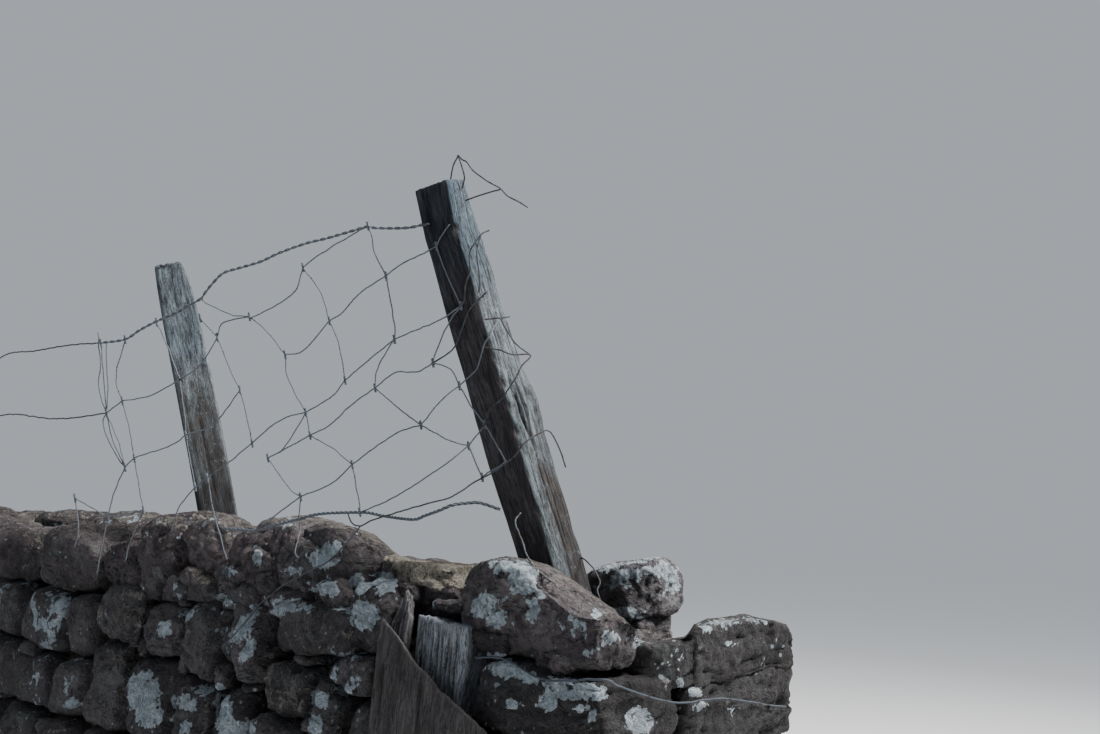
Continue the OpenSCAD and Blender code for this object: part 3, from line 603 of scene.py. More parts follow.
# The ridge of the top stones as it shows from the picture's side, in picture units
RIDGE = [(90, 546), (128, 542), (138, 528), (146, 518), (160, 514), (180, 511), (204, 510), (224, 512), (240, 517), (251, 524), (256, 528),
         (262, 521), (275, 516), (290, 514), (305, 515), (322, 518), (340, 522), (357, 528), (374, 535), (388, 546), (399, 556), (412, 560), (470, 564)]
FOOT_RIDGE = [(460, 590), (470, 572), (475, 565), (482, 560), (493, 557), (513, 556), (530, 559), (545, 564), (556, 569), (573, 580), (586, 590), (601, 601),
              (616, 612), (631, 626), (650, 640), (664, 646)]
BACK_RIDGE = [(585, 574), (595, 567), (616, 562), (640, 559), (650, 557), (665, 556), (677, 563), (683, 574)]
END_RIDGE = [(640, 640), (684, 638), (690, 632), (694, 625), (708, 619), (728, 617), (745, 614), (756, 617), (776, 620), (786, 624), (790, 631)]

# Lichen crusts that show from the picture's side: middle, half width, half height in picture units, turn in degrees and strength
CRUSTS = [
    # on the large stone at the post's foot and its drips
    (512, 566, 22, 10, -6), (524, 580, 15, 17, -20), (532, 609, 7, 16, 10), (506, 571, 8, 5, 0), (498, 560, 12, 4, -10),
    (486, 604, 12, 13, 30), (497, 619, 11, 9, -20), (479, 612, 8, 7, 0), (516, 590, 7, 5, 0), (540, 595, 5, 7, 0),
    (596, 613, 8, 7, 0), (566, 644, 14, 9, 10, 0.60), (590, 652, 20, 9, 0, 0.64), (612, 640, 16, 14, 0, 0.58), (575, 625, 22, 16, 30, 0.47), (636, 640, 14, 12, 30, 0.55),
    # paired lobes
    (385, 582, 12, 13, 20), (363, 588, 6, 14, 38), (364, 614, 16, 16, 0),
    # flat stone's top edge
    (288, 604, 26, 6, 8), (278, 610, 10, 7, 0), (340, 609, 10, 3, 0),
    # the slanting crust and its lower lobe
    (246, 624, 9, 22, 32), (238, 634, 8, 16, 36), (247, 650, 8, 14, 25),
    (191, 612, 9, 6, -35), (227, 602, 10, 6, 20), (213, 605, 7, 4, -10), (164, 628, 9, 9, 0), (221, 631, 7, 6, 0),
    # grey boulder face and the round stones under it
    (325, 557, 15, 13, -10), (336, 549, 13, 8, 0), (354, 554, 15, 9, 14, 0.56), (326, 588, 15, 9, 8), (292, 571, 9, 6, 0), (357, 582, 9, 9, 0), (258, 557, 6, 10, 0), (288, 522, 9, 6, 0),
    (148, 536, 11, 7, 0, 0.52), (178, 537, 10, 7, 0, 0.5), (228, 572, 8, 6, 0), (216, 521, 13, 7, 0, 0.5), (156, 521, 8, 6, 0, 0.48), (196, 524, 12, 6, 0, 0.46), (232, 536, 9, 5, 20, 0.46),
    # low on the left
    (144, 692, 18, 24, -6), (149, 715, 15, 12, 0), (187, 704, 15, 9, 12), (208, 690, 13, 6, -8), (224, 708, 9, 20, -14), (228, 726, 12, 14, 0),
    (186, 727, 7, 8, 0), (249, 727, 9, 8, 0), (321, 700, 12, 9, 30), (316, 722, 8, 12, 0), (333, 667, 4, 14, 0), (350, 655, 18, 3, 0), (354, 664, 22, 9, 4, 0.54), (352, 682, 16, 10, 0, 0.44), (345, 690, 8, 6, 0),
    # lower course at the right and the built end
    (500, 666, 20, 12, 20), (527, 677, 18, 8, 28), (566, 689, 32, 13, 8, 0.9), (594, 692, 16, 12, 0, 0.8), (548, 702, 14, 12, 0, 0.8), (512, 704, 10, 7, 0), (490, 690, 14, 18, 0, 0.5), (580, 706, 20, 10, 0, 0.6),
    (638, 720, 16, 17, 0), (681, 683, 6, 6, 0), (694, 692, 8, 8, 0), (592, 718, 5, 9, 0), (672, 664, 24, 22, 0, 0.44),
    (726, 622, 26, 4, -2), (704, 628, 10, 6, 30), (752, 620, 14, 4, 8), (700, 705, 6, 6, 0), (734, 712, 7, 5, 0),
    # pale stone behind the post
    (608, 566, 24, 5, -8), (624, 576, 26, 7, -14), (660, 569, 16, 9, 10), (674, 582, 8, 15, 0), (612, 584, 20, 5, -5), (640, 560, 22, 4, -3), (590, 571, 7, 6, 0), (598, 590, 8, 7, 0, 0.55),
]


def crust_field(v, n):
    x, y, _ = seen(v)
    to = v - EYE
    facing = -(n * to).sum(1) / np.linalg.norm(to, axis=1)
    best = np.zeros(len(v))
    for cx, cy, rx, ry, deg, *strength in CRUSTS:
        c, s = math.cos(math.radians(deg)), math.sin(math.radians(deg))
        dx, dy = x - cx, y - cy
        a, b = (dx * c + dy * s) / rx, (-dx * s + dy * c) / ry
        d = np.sqrt(a * a + b * b)
        k = strength[0] if strength else 1.0
        best = np.maximum(best, np.clip(0.5 + (1 - d) * min(rx, ry) / 13.0, 0, 1) * k)
    return best * smooth(facing, -0.05, 0.25)


# ---- generic courses --------------------------------------------------
LEVELS = [120, 286, 436, 574, 702, 820, 930, 1044, 1150]
HERO_X, HERO_LEVEL = 60.0, 6


def level(k, s, side):
    """Height of the line between courses at place s along the wall."""
    z = LEVELS[k]
    if k in (0, len(LEVELS) - 1):
        return float(z)
    ease = 1.0
    if side < 0 and k == HERO_LEVEL:
        ease = float(1 - smooth(s, HERO_X - 260, HERO_X - 20))
    ends = float(smooth(HALF - abs(s), 0, 260))
    p = np.array([[s / 330.0, k * 7.7 + side * 3.1, 0.5]])
    return z + 22.0 * ease * ends * float(noise(p, 21)[0])


def face_front(z):
    return half_width(np.clip(z, 120, 1260))


def keep_out(side, xa, xb, za, zb):
    """Places on the faces that the generic courses leave free."""
    if side < 0:
        if xb > HERO_X and za > LEVELS[HERO_LEVEL] - 25:
            return True
        if xa < 1056 and xb > 912 and zb > 655:
            return True
    return False


def lay_face(side, seed, soups):
    rng = np.random.default_rng(seed)
    reserved = {k: [] for k in range(len(LEVELS))}
    last = []
    for k in range(len(LEVELS) - 1):
        lo, hi = -HALF, HALF
        if side < 0 and k >= HERO_LEVEL:
            hi = HERO_X
        joints, x = [], lo
        mean = LEVELS[k + 1] - LEVELS[k]
        cells = []
        while x < hi - 1:
            wide = float(np.clip(rng.lognormal(math.log(1.75 * mean), 0.36), 0.85 * mean, 3.1 * mean))
            if abs(x - lo) < 1 and lo == -HALF:
                wide = 300.0 if (k + (side > 0)) % 2 else 205.0
            nx = x + wide
            end = 300.0 if (k + (side > 0)) % 2 else 205.0
            if hi == HALF:
                if nx > hi - end - 70:
                    nx = hi - end if x < hi - end - 40 else hi
                    if x > hi - end + 60:
                        nx = hi
            elif nx > hi - 90:
                nx = hi
            for j in last:
                if abs(nx - j) < 36 and nx < hi - 1:
                    nx += 44 if nx < j + 4 else 0
            for a, b in reserved[k]:
                if x < a < nx + 60:
                    nx = a
                elif a <= x < b:
                    nx = b
            nx = min(nx, hi)
            cells.append((x, nx))
            joints.append(nx)
            x = nx
        last = joints
        for xa, xb in cells:
            if any(a - 2 <= xa and xb <= b + 2 for a, b in reserved[k]):
                continue
            top = k + 1
            if (k + 2 < len(LEVELS) and k not in (HERO_LEVEL - 1,) and 110 < xb - xa < 260 and rng.uniform() < 0.13
                    and not keep_out(side, xa, xb, LEVELS[k], LEVELS[k + 2]) and abs(xa) < HALF - 320 and abs(xb) < HALF - 320):
                top = k + 2
                reserved[k + 1].append((xa, xb))
            g = rng.uniform(2.0, 5.0, 4)
            tilt = rng.uniform(-11, 11, 2)
            edge = (abs(xa + HALF) < 1, abs(xb - HALF) < 1)
            if edge[0]:
                tilt[0] = 0
            if edge[1]:
                tilt[1] = 0
            zl0, zr0 = level(k, xa, side), level(k, xb, side)
            zl1, zr1 = level(top, xa, side), level(top, xb, side)
            parts = [((xa, xb), 0.0, 1.0)]
            if top == k + 1 and not any(edge) and rng.uniform() < 0.16:
                cut = rng.uniform(0.38, 0.62)
                parts = [((xa, xb), 0.0, cut), ((xa, xb), cut, 1.0)]
                if rng.uniform() < 0.5 and xb - xa > 200:
                    mid = xa + (xb - xa) * rng.uniform(0.4, 0.6)
                    parts = [((xa, xb), 0.0, cut), ((xa, mid), cut, 1.0), ((mid, xb), cut, 1.0)]
            for (pa, pb), t0, t1 in parts:
                fa, fb = (pa - xa) / (xb - xa), (pb - xa) / (xb - xa)

                def z_at(f, t):
                    lo_, hi_ = zl0 + (zr0 - zl0) * f, zl1 + (zr1 - zl1) * f
                    return lo_ + (hi_ - lo_) * t

                quad = [
                    (pa + g[0] - tilt[0] * 0.5 * (pa == xa), z_at(fa, t0) + g[1] * 0.7),
                    (pb - g[2] - tilt[1] * 0.5 * (pb == xb), z_at(fb, t0) + g[1] * 0.7),
                    (pb - g[2] + tilt[1] * 0.5 * (pb == xb), z_at(fb, t1) - g[3] * 0.7),
                    (pa + g[0] + tilt[0] * 0.5 * (pa == xa), z_at(fa, t1) - g[3] * 0.7),
                ]
                if keep_out(side, pa, pb, quad[0][1], quad[2][1]):
                    if k < HERO_LEVEL:
                        PARTLY_FREE.append((pa, pb, quad[0][1], quad[1][1], quad[2][1], quad[3][1], k))
                    continue
                long_ = any(edge)
                depth = (rng.uniform(120, 165) if not long_ else (190.0 if (k + (side > 0)) % 2 else 285.0))
                depth = min(depth, 2 * float(half_width(quad[2][1])) - (150 if long_ else 200))
                wide, tall = pb - pa, quad[2][1] - quad[1][1]
                grid = (int(np.clip(wide / 15, 6, 16)), 5 if not long_ else 9, int(np.clip(tall / 14, 4, 12)))
                mossy = 0.34 * rng.uniform() + 0.12 * (rng.uniform() < 0.3)
                wall_stone(soups(0.5 * (pa + pb)), rng, quad, face_front, side, depth, grid, out=rng.uniform(-9, 7) - 2,
                           e=rng.uniform(4.6, 9.0), cuts=int(rng.integers(5, 10)), lumpy=rng.uniform(0.7, 1.15),
                           lamt=float(np.clip(rng.normal(0.12, 0.35), -0.5, 0.9)), moss=mossy)
    # small pinning stones driven into the joints
    for _ in range(52):
        k = int(rng.integers(1, len(LEVELS) - 1))
        x = rng.uniform(-HALF + 60, HALF - 60)
        z = level(k, x, side) + rng.uniform(-4, 4)
        if keep_out(side, x - 30, x + 30, z - 10, z + 10) or (side < 0 and k >= HERO_LEVEL and x > HERO_X - 30):
            continue
        w, h = rng.uniform(34, 74), rng.uniform(14, 30)
        quad = [(x - w / 2, z - h / 2), (x + w / 2, z - h / 2 + rng.uniform(-5, 5)), (x + w / 2, z + h / 2), (x - w / 2, z + h / 2)]
        wall_stone(soups(x), rng, quad, face_front, side, 80, (5, 3, 3), out=rng.uniform(-14, -2), e=3.0, cuts=5, detail=0.5, lamt=rng.uniform(-0.2, 0.7), moss=0.3)


PARTLY_FREE = []
FRONT = {"left": Soup(), "middle": Soup(), "right": Soup()}
BACK = {"left": Soup(), "middle": Soup(), "right": Soup()}
HEADS = {"left": Soup(), "right": Soup()}


def pick(group):
    def f(x):
        if x < -HALF + 190:
            return HEADS["left"]
        if x > HALF - 190:
            return HEADS["right"]
        return group["left" if x < -390 else "middle" if x < 430 else "right"]
    return f


lay_face(-1, 101, pick(FRONT))
lay_face(1, 202, pick(BACK))

# stones beside and under the recess of the old stile timbers, where a course ran across it
rng = np.random.default_rng(404)
for pa, pb, za, zb, zc, zd, k in PARTLY_FREE:
    for lo, hi, cap in ((pa, min(pb, 902.0), 9999.0), (max(pa, 904.0), min(pb, 1060.0), 652.0), (max(pa, 1064.0), pb, 9999.0)):
        if hi - lo < 45 or min(za, zb) > cap - 30:
            continue
        f, g = (lo - pa) / (pb - pa), (hi - pa) / (pb - pa)
        quad = [(lo + 3, za + (zb - za) * f), (hi - 3, za + (zb - za) * g), (hi - 3, min(cap, zd + (zc - zd) * g)), (lo + 3, min(cap, zd + (zc - zd) * f))]
        corner = hi > HALF - 5
        wall_stone(pick(FRONT)(0.5 * (lo + hi)), rng, quad, face_front, -1, (190.0 if k % 2 else 285.0) if corner else 140.0,
                   (int(np.clip((hi - lo) / 14, 6, 16)), 9 if corner else 5, 9), out=rng.uniform(-7, 2), e=6.0, cuts=7, lumpy=0.9,
                   lamt=float(rng.uniform(-0.2, 0.5)), moss=0.2)


def lay_cheek(end, seed):
    """The stones between the front and back corner stones at a wall end."""
    rng = np.random.default_rng(seed)
    soup = HEADS["left" if end < 0 else "right"]
    for k in range(len(LEVELS) - 1):
        if end > 0 and k >= HERO_LEVEL:
            continue
        za, zb = LEVELS[k] + 3, LEVELS[k + 1] - 3
        zm = (za + zb) / 2
        front = 190.0 if k % 2 else 285.0
        back = 190.0 if (k + 1) % 2 else 285.0
        ya = -float(half_width(zm)) + min(front, 2 * float(half_width(zm)) - 150)
        yb = float(half_width(zm)) - min(back, 2 * float(half_width(zm)) - 150)
        if yb - ya < 46:
            continue
        n = 1 if yb - ya < 230 else 2
        for i in range(n):
            y0, y1 = ya + (yb - ya) * i / n + 4, ya + (yb - ya) * (i + 1) / n - 4
            size = (176, y1 - y0, zb - za)
            free_stone(soup, rng, (end * (HALF - 92 - rng.uniform(0, 6)), (y0 + y1) / 2, zm), size, (9, 10, 9), e=4.6, cuts=5, lumpy=0.8,
                       lamt=rng.uniform(-0.3, 0.6), moss=0.15, cav=0.4)


lay_cheek(-1, 31)
lay_cheek(1, 32)

# ---- footing ----------------------------------------------------------
FOOTING = Soup()
rng = np.random.default_rng(5)
for side in (-1, 1):
    x = -HALF
    while x < HALF - 1:
        nx = min(x + rng.uniform(230, 420), HALF)
        if HALF - nx < 150:
            nx = HALF
        quad = [(x + 3, 2), (nx - 3, 2), (nx - 3 + rng.uniform(-8, 0), 118), (x + 3 + rng.uniform(0, 8), 118 - rng.uniform(0, 5))]
        wall_stone(FOOTING, rng, quad, lambda z: 332.0 + 0 * z, side, 300, (16, 9, 8), out=rng.uniform(-6, 2), e=5.0, cuts=5, lumpy=0.7,
                   lamt=rng.uniform(-0.4, 0.4), moss=0.35 * rng.uniform())
        x = nx
for end in (-1, 1):
    free_stone(FOOTING, rng, (end * (HALF - 92), 0, 60), (178, 62, 112), (8, 5, 7), e=4.5, cuts=4, lamt=0.1, cav=0.3)

# ---- the stones, given one by one, that show in the picture -----------
HERO = [
    # corners (x, z): bottom left, bottom right, top right, top left; out; depth; roundness; moss; loose scatter
    [(66, 934), (206, 932), (208, 1078), (82, 1084), -4, 150, 5.5, 0.42, -0.1],
    [(88, 1089), (250, 1084), (246, 1180), (96, 1186), 2, 150, 5.0, 0.45, 0.1],
    [(212, 936), (366, 934), (366, 1068), (216, 1076), 4, 150, 5.5, 0.12, -0.1],
    [(255, 1082), (369, 1078), (364, 1160), (262, 1170), 3, 130, 6.0, 0.2, -0.1],
    [(371, 936), (476, 936), (472, 1042), (373, 1058), 2, 150, 5.5, 0.3, -0.1],
    [(374, 1066), (462, 1050), (460, 1182), (378, 1188), 4, 140, 4.8, 0.25, -0.1],
    [(476, 1048), (498, 1046), (506, 1086), (468, 1092), -4, 70, 4.0, 0.2, 0.2],
    [(466, 1096), (538, 1090), (500, 1152), (466, 1154), -8, 90, 4.0, 0.2, -0.1],
    [(446, 1158), (536, 1190), (534, 1216), (458, 1214), -16, 110, 4.0, 0.3, 0.0],
    [(546, 1066), (600, 1072), (596, 1198), (488, 1188), 8, 120, 5.0, 0.05, -0.2],
    [(482, 936), (577, 936), (573, 1062), (504, 1060), 5, 140, 5.0, 0.1, -0.1],
    [(603, 1120), (868, 1150), (864, 1206), (598, 1212), 9, 150, 6.5, 0.3, -0.3],
    [(606, 1034), (722, 1032), (738, 1112), (604, 1113), -4, 140, 6.0, 0.45, -0.2],
    [(730, 988), (805, 990), (807, 1086), (742, 1114), 3, 130, 5.0, 0.2, 0.2],
    [(580, 936), (693, 936), (691, 1028), (580, 1030), 0, 150, 6.0, 0.3, -0.1],
    [(697, 936), (807, 936), (807, 983), (697, 984), -3, 140, 6.0, 0.3, 0.0],
    [(772, 1092), (880, 1094), (874, 1152), (774, 1140), 6, 130, 8.0, 0.1, -0.2],
    [(811, 1000), (898, 998), (894, 1087), (811, 1088), 0, 140, 6.0, 0.3, 0.1],
    [(811, 936), (898, 936), (898, 993), (811, 994), 1, 140, 6.5, 0.3, 0.0],
    [(1066, 936), (1183, 938), (1180, 1076), (1068, 1079), 0, 150, 6.0, 0.3, 0.1],
    # behind the old stile timbers
    [(892, 660), (1070, 660), (1068, 800), (894, 796), -82, 90, 6.0, 0.3, -0.2],
    [(894, 804), (1070, 806), (1068, 934), (896, 932), -84, 90, 6.0, 0.3, -0.2],
    [(896, 940), (1070, 940), (1066, 1076), (898, 1080), -82, 80, 6.0, 0.3, -0.2],
    [(898, 1086), (1068, 1084), (1064, 1178), (900, 1176), -80, 70, 6.0, 0.3, -0.2],
]
rng = np.random.default_rng(77)
for row in HERO:
    corners, (out, depth, e, moss, loose) = row[:4], row[4:]
    wide, tall = corners[1][0] - corners[0][0], corners[2][1] - corners[1][1]
    grid = (int(np.clip(wide / 4.8, 13, 50)), int(np.clip(depth / 14, 7, 11)), int(np.clip(tall / 4.8, 12, 30)))
    wall_stone(pick(FRONT)(0.5 * (corners[0][0] + corners[1][0])), rng, corners, face_front, -1, depth, grid, out=out, e=e,
               cuts=int(rng.integers(6, 10)), lumpy=1.0, lamt=loose, moss=moss, field=crust_field, cav=0.8)

# small stones wedged between them: (x, z, width, height, out, lichen)
for x, z, w, h, out, loose in [
    (250, 1078, 40, 24, -6, 0.3), (368, 1070, 34, 30, -8, 0.2), (212, 1088, 46, 20, -10, 0.4), (478, 1162, 36, 22, -6, 0.4), (600, 1118, 44, 20, -6, 0.1),
    (690, 1122, 60, 18, -8, 0.3), (560, 1064, 40, 18, -10, 0.5), (724, 1030, 34, 26, -6, 0.1), (842, 1160, 60, 18, -10, 0.2), (352, 1172, 40, 20, -8, 0.3),
    (150, 1188, 60, 20, -12, 0.2), (300, 1176, 56, 18, -14, 0.1), (430, 1190, 44, 24, -14, 0.3), (700, 1215, 70, 22, -18, 0.0), (620, 1216, 50, 20, -20, 0.0), (780, 1214, 64, 22, -14, 0.1),
]:
    quad = [(x - w / 2, z - h / 2), (x + w / 2, z - h / 2 + 2), (x + w / 2 - 3, z + h / 2), (x - w / 2 + 2, z + h / 2)]
    wall_stone(pick(FRONT)(x), rng, quad, face_front, -1, 90, (14, 8, 8), out=out, e=3.6, cuts=7, lumpy=1.0, lamt=loose, moss=0.35, field=crust_field, cav=0.6)

# corner and end stones of the built end, as large squared blocks
END = HEADS["right"]
wall_stone(END, rng, [(1072, 1084), (1301, 1080), (1301, 1170), (1080, 1182)], face_front, -1, 170, (50, 28, 26), out=4, e=8.0, cuts=8,
           lumpy=0.9, lamt=-0.1, moss=0.2, field=crust_field, cav=0.35)
wall_stone(END, rng, [(1188, 936), (1301, 936), (1301, 1074), (1186, 1075)], face_front, -1, 216, (24, 26, 22), out=2, e=8.0, cuts=7,
           lumpy=0.8, lamt=0.0, moss=0.25, field=crust_field, cav=0.35)
free_stone(END, rng, (1207, 90, 1098), (188, 230, 98), (22, 40, 22), e=16.0, cuts=0, lumpy=0.4, lamt=-0.2, moss=0.1, field=crust_field, cav=0.1, tone=0.3)
free_stone(END, rng, (1207, 96, 993), (187, 252, 112), (20, 32, 20), e=14.0, cuts=0, lumpy=0.5, lamt=0.0, moss=0.15, field=crust_field, cav=0.15)

FOOTING.build("footing_stones", STONE, "stone_dark", ["footing"])
for key, soup in FRONT.items():
    soup.build(f"front_stones_{key}", STONE, "stone_dark", [f"front_face_{key}"])
for key, soup in BACK.items():
    soup.build(f"back_stones_{key}", STONE, "stone_dark", [f"back_face_{key}"])
# the right end's stones take the darker copy: painted shade
for key, soup in HEADS.items():
    soup.build(f"end_stones_{key}", STONE_PAINTED_SHADE if key == "right" else STONE, "stone_dark", [f"{key}_head"])

# ---- packing between the faces ---------------------------------------
CORE = Soup()
abc, q = box_grid(72, 6, 30)
z = 20 + (abc[:, 2] + 1) / 2 * 1118
x = abc[:, 0] * 1215
slot = smooth(x, 850, 895) * smooth(-x, -1110, -1072) * smooth(z, 560, 640)
inset = np.where(abc[:, 1] < 0, 56 + 104 * slot, 62.0) + 30 * smooth(z, 1060, 1138)
y = abc[:, 1] * (half_width(np.maximum(z, 120)) - inset)
v = np.stack([x, y, z], 1)
v += vertex_normals(v, q) * (30 * fbm(v / 75.0, 3, 4) * (1 - slot))[:, None]
CORE.add(v, q)
rng = np.random.default_rng(9)
for i in range(84):
    x, y = rng.uniform(-1250, 1270), rng.uniform(-52, 60)
    s = rng.uniform(44, 104, 3) * (1.0, 0.8, 0.62)
    sv, sq, _ = rough_stone(rng, (6, 5, 4), s / 2, 3.2, 7, 1.1, 0.5)
    turn = rng.uniform(0, math.pi)
    c, sn = math.cos(turn), math.sin(turn)
    sv = np.stack([sv[:, 0] * c - sv[:, 1] * sn, sv[:, 0] * sn + sv[:, 1] * c, sv[:, 2]], 1)
    CORE.add(sv + (x, y, COURSE_TOP - 12 + rng.uniform(0, 22) + s[2] * 0.3), sq)
CORE.build("packed_core", RUBBLE, "rubble", ["hearting"])

# ---- top stones -------------------------------------------------------
rng = np.random.default_rng(61)
cope = Soup()
for i in range(6):
    size = (206 + 12 * wob(i + 9), 165 + 10 * wob(i + 2), 118 + 22 * wob(i + 5))
    fine = i >= 4
    free_stone(cope, rng, (-1198 + 228 * i + 6 * wob(i), -95 + 6 * wob(i + 4), COURSE_TOP + size[2] / 2 - 3), size,
               (34, 26, 22) if fine else (22, 18, 16), 5 * wob(i + 7), e=3.6, cuts=12, lumpy=1.3, lamt=(-0.25 if fine else 0.25 + 0.3 * wob(i)), moss=0.36, field=crust_field if fine else None)
    # a smaller stone wedged beside it
    if i < 5:
        free_stone(cope, rng, (-1198 + 228 * (i + 0.5), -108 + 20 * wob(i + 3), COURSE_TOP + 26), (74, 90, 58), (9, 9, 7), 20 * wob(i + 1), e=2.8, cuts=6, lamt=0.2, moss=0.4)
cope.build("cope_stones_front", STONE_WARM, "stone_lichen", ["cope_left_front"])

cope = Soup()
for i in range(8):
    size = (202 + 12 * wob(i + 6), 152 + 8 * wob(i + 8), 98 + 14 * wob(i + 2))
    free_stone(cope, rng, (-1190 + 222 * i + 6 * wob(i + 3), 100 + 5 * wob(i + 1), COURSE_TOP + size[2] / 2 - 3), size,
               (20, 16, 13), 4 * wob(i + 5), e=3.6, cuts=12, lumpy=1.3, lamt=0.3 + 0.3 * wob(i + 2), moss=0.42)
    free_stone(cope, rng, (-1190 + 222 * (i + 0.5), 122 + 14 * wob(i + 3), COURSE_TOP + 22), (64, 80, 48), (8, 8, 6), 30 * wob(i + 1), e=2.8, cuts=6, lamt=0.2, moss=0.4)
cope.build("cope_stones_back", STONE_WARM, "stone_lichen", ["cope_left_back"])

cope = Soup()
for k, (c, size, spin) in enumerate([((588, 102), (192, 148, 92), 3), ((776, 106), (162, 142, 86), -5), ((926, 128), (124, 104, 72), 4)]):
    free_stone(cope, rng, (*c, COURSE_TOP + size[2] / 2 - 2), size, (22, 18, 14), spin, e=3.6, cuts=12, lumpy=1.2, lamt=0.4, moss=0.4)
free_stone(cope, rng, (684, 118, COURSE_TOP + 20), (70, 84, 44), (8, 8, 6), 12, e=2.8, cuts=6, lamt=0.2, moss=0.5)
cope.build("cope_stones_back_right", STONE_WARM, "stone_lichen", ["cope_right_back"])

# the lumpy stone at the left of the picture
s = Soup()
free_stone(s, rng, (262, -88, 1244), (168, 172, 130), (42, 36, 32), 3, e=3.4, cuts=12, lumpy=1.3, lamt=-0.10, moss=0.46,
           top=[(180, 1300), (215, 1308), (250, 1314), (284, 1316), (330, 1314), (352, 1306)], field=crust_field, ridge=RIDGE)
free_stone(s, rng, (366, -84, 1244), (142, 166, 128), (36, 34, 32), -3, e=3.4, cuts=12, lumpy=1.2, lamt=-0.10, moss=0.50,
           top=[(300, 1306), (346, 1316), (391, 1312), (420, 1302), (440, 1290)], field=crust_field, ridge=RIDGE)
for c, size in [((226, -132, 1188), (96, 84, 62)), ((312, -136, 1190), (84, 76, 52)), ((392, -134, 1190), (92, 84, 60)), ((432, -112, 1222), (56, 90, 50)),
                ((272, -150, 1212), (62, 46, 42)), ((352, -150, 1210), (60, 48, 38)), ((182, -150, 1200), (60, 50, 40)), ((300, -158, 1236), (50, 34, 34))]:
    free_stone(s, rng, c, size, (16, 13, 12), rng.uniform(-20, 20), e=3.2, cuts=8, lumpy=1.2, lamt=0.1, moss=0.5, field=crust_field, cav=0.9)
s.build("lobed_boulder", STONE_WARM, "stone_lichen", ["boulder_a"])

# the broad humped stone
s = Soup()
free_stone(s, rng, (548, -86, 1250), (196, 174, 146), (44, 36, 34), 2, e=3.4, cuts=12, lumpy=1.25, lamt=0.0, moss=0.60,
           top=[(452, 1300), (474, 1314), (500, 1321), (533, 1325), (573, 1322), (612, 1314), (650, 1302)], field=crust_field, ridge=RIDGE, rim=(-17, -7))
free_stone(s, rng, (700, -84, 1254), (218, 170, 126), (46, 36, 30), -4, e=3.2, cuts=11, lumpy=1.15, lamt=0.0, moss=0.78,
           top=[(595, 1310), (640, 1322), (676, 1326), (713, 1320), (749, 1308), (785, 1294), (812, 1280)], field=crust_field, ridge=RIDGE, rim=(-17, -7))
# the grey face and the rounded stones lodged under it
free_stone(s, rng, (672, -146, 1252), (126, 62, 84), (32, 16, 24), 0, e=4.0, cuts=9, lumpy=1.0, lamt=-0.1, moss=0.0, field=crust_field, cav=0.2, tone=0.2)
for c, size, m in [((668, -158, 1210), (92, 54, 42), 0.0), ((584, -156, 1226), (54, 46, 38), 0.1), ((760, -156, 1222), (62, 56, 52), 0.1), ((534, -152, 1198), (70, 60, 42), 0.4),
                   ((622, -152, 1196), (64, 60, 44), 0.5), ((716, -150, 1212), (46, 48, 48), 0.4), ((500, -148, 1236), (60, 56, 44), 0.35), ((462, -140, 1206), (50, 60, 44), 0.3),
                   ((566, -160, 1258), (60, 40, 40), 0.2), ((806, -152, 1206), (50, 50, 44), 0.4)]:
    free_stone(s, rng, c, size, (18, 13, 13), rng.uniform(-12, 12), e=3.0, cuts=7, lumpy=1.0, lamt=0.0, moss=m, field=crust_field, cav=0.6)
s.build("humped_boulder", STONE_WARM, "stone_lichen", ["boulder_b"])

# low mossed stones
s = Soup()
free_stone(s, rng, (120, -90, 1226), (146, 150, 148), (34, 28, 30), 4, e=3.3, cuts=12, lumpy=1.3, lamt=0.1, moss=0.24,
           top=[(50, 1268), (66, 1282), (104, 1295), (155, 1299), (192, 1290)], field=crust_field, ridge=RIDGE)
free_stone(s, rng, (890, -82, 1240), (236, 120, 76), (60, 32, 22), -2, e=3.6, cuts=10, lumpy=1.2, detail=1.3, lamt=-0.5, moss=1.9,
           top=[(780, 1288), (810, 1284), (836, 1282), (876, 1283), (930, 1285), (966, 1282), (1000, 1278)], field=crust_field, ridge=RIDGE, rim=(-46, -27, 0.04), tone=0.62)
free_stone(s, rng, (962, -74, 1196), (110, 76, 62), (18, 12, 12), 0, e=4.0, cuts=8, lamt=-0.3, moss=0.2, field=crust_field, cav=0.8)
# the stone with the paired lobes of lichen, under the left end of the moss
free_stone(s, rng, (852, -158, 1206), (104, 60, 92), (32, 18, 28), 0, e=3.2, cuts=7, lumpy=0.8, lamt=-0.3, moss=0.0, field=crust_field, cav=0.3, tone=0.2)
free_stone(s, rng, (880, -128, 1226), (70, 50, 60), (20, 12, 16), 0, e=3.2, cuts=8, lamt=-0.2, moss=0.25, field=crust_field, cav=0.7)
# the thin ledge stone over the upright timber
free_stone(s, rng, (984, -132, 1228), (58, 56, 15), (24, 16, 8), 4, e=6.0, cuts=8, lumpy=0.8, detail=0.6, lamt=0.45, moss=0.0, field=crust_field, cav=0.8, tone=0.02)
free_stone(s, rng, (950, 30, 1188), (88, 86, 78), (14, 14, 12), 12, e=3.2, cuts=8, lamt=0.1, moss=0.5)
s.build("saddle_stones_mossed", STONE_STRAW, "stone_mossy", ["saddle_stones"])

# the large stone at the post's foot


def narrower_right(v):
    """The stone's back edge comes forward towards its right end."""
    k = 1 - 0.34 * smooth(v[:, 0], 1150, 1280)
    v[:, 1] = -181 + (v[:, 1] + 181) * k
    return v


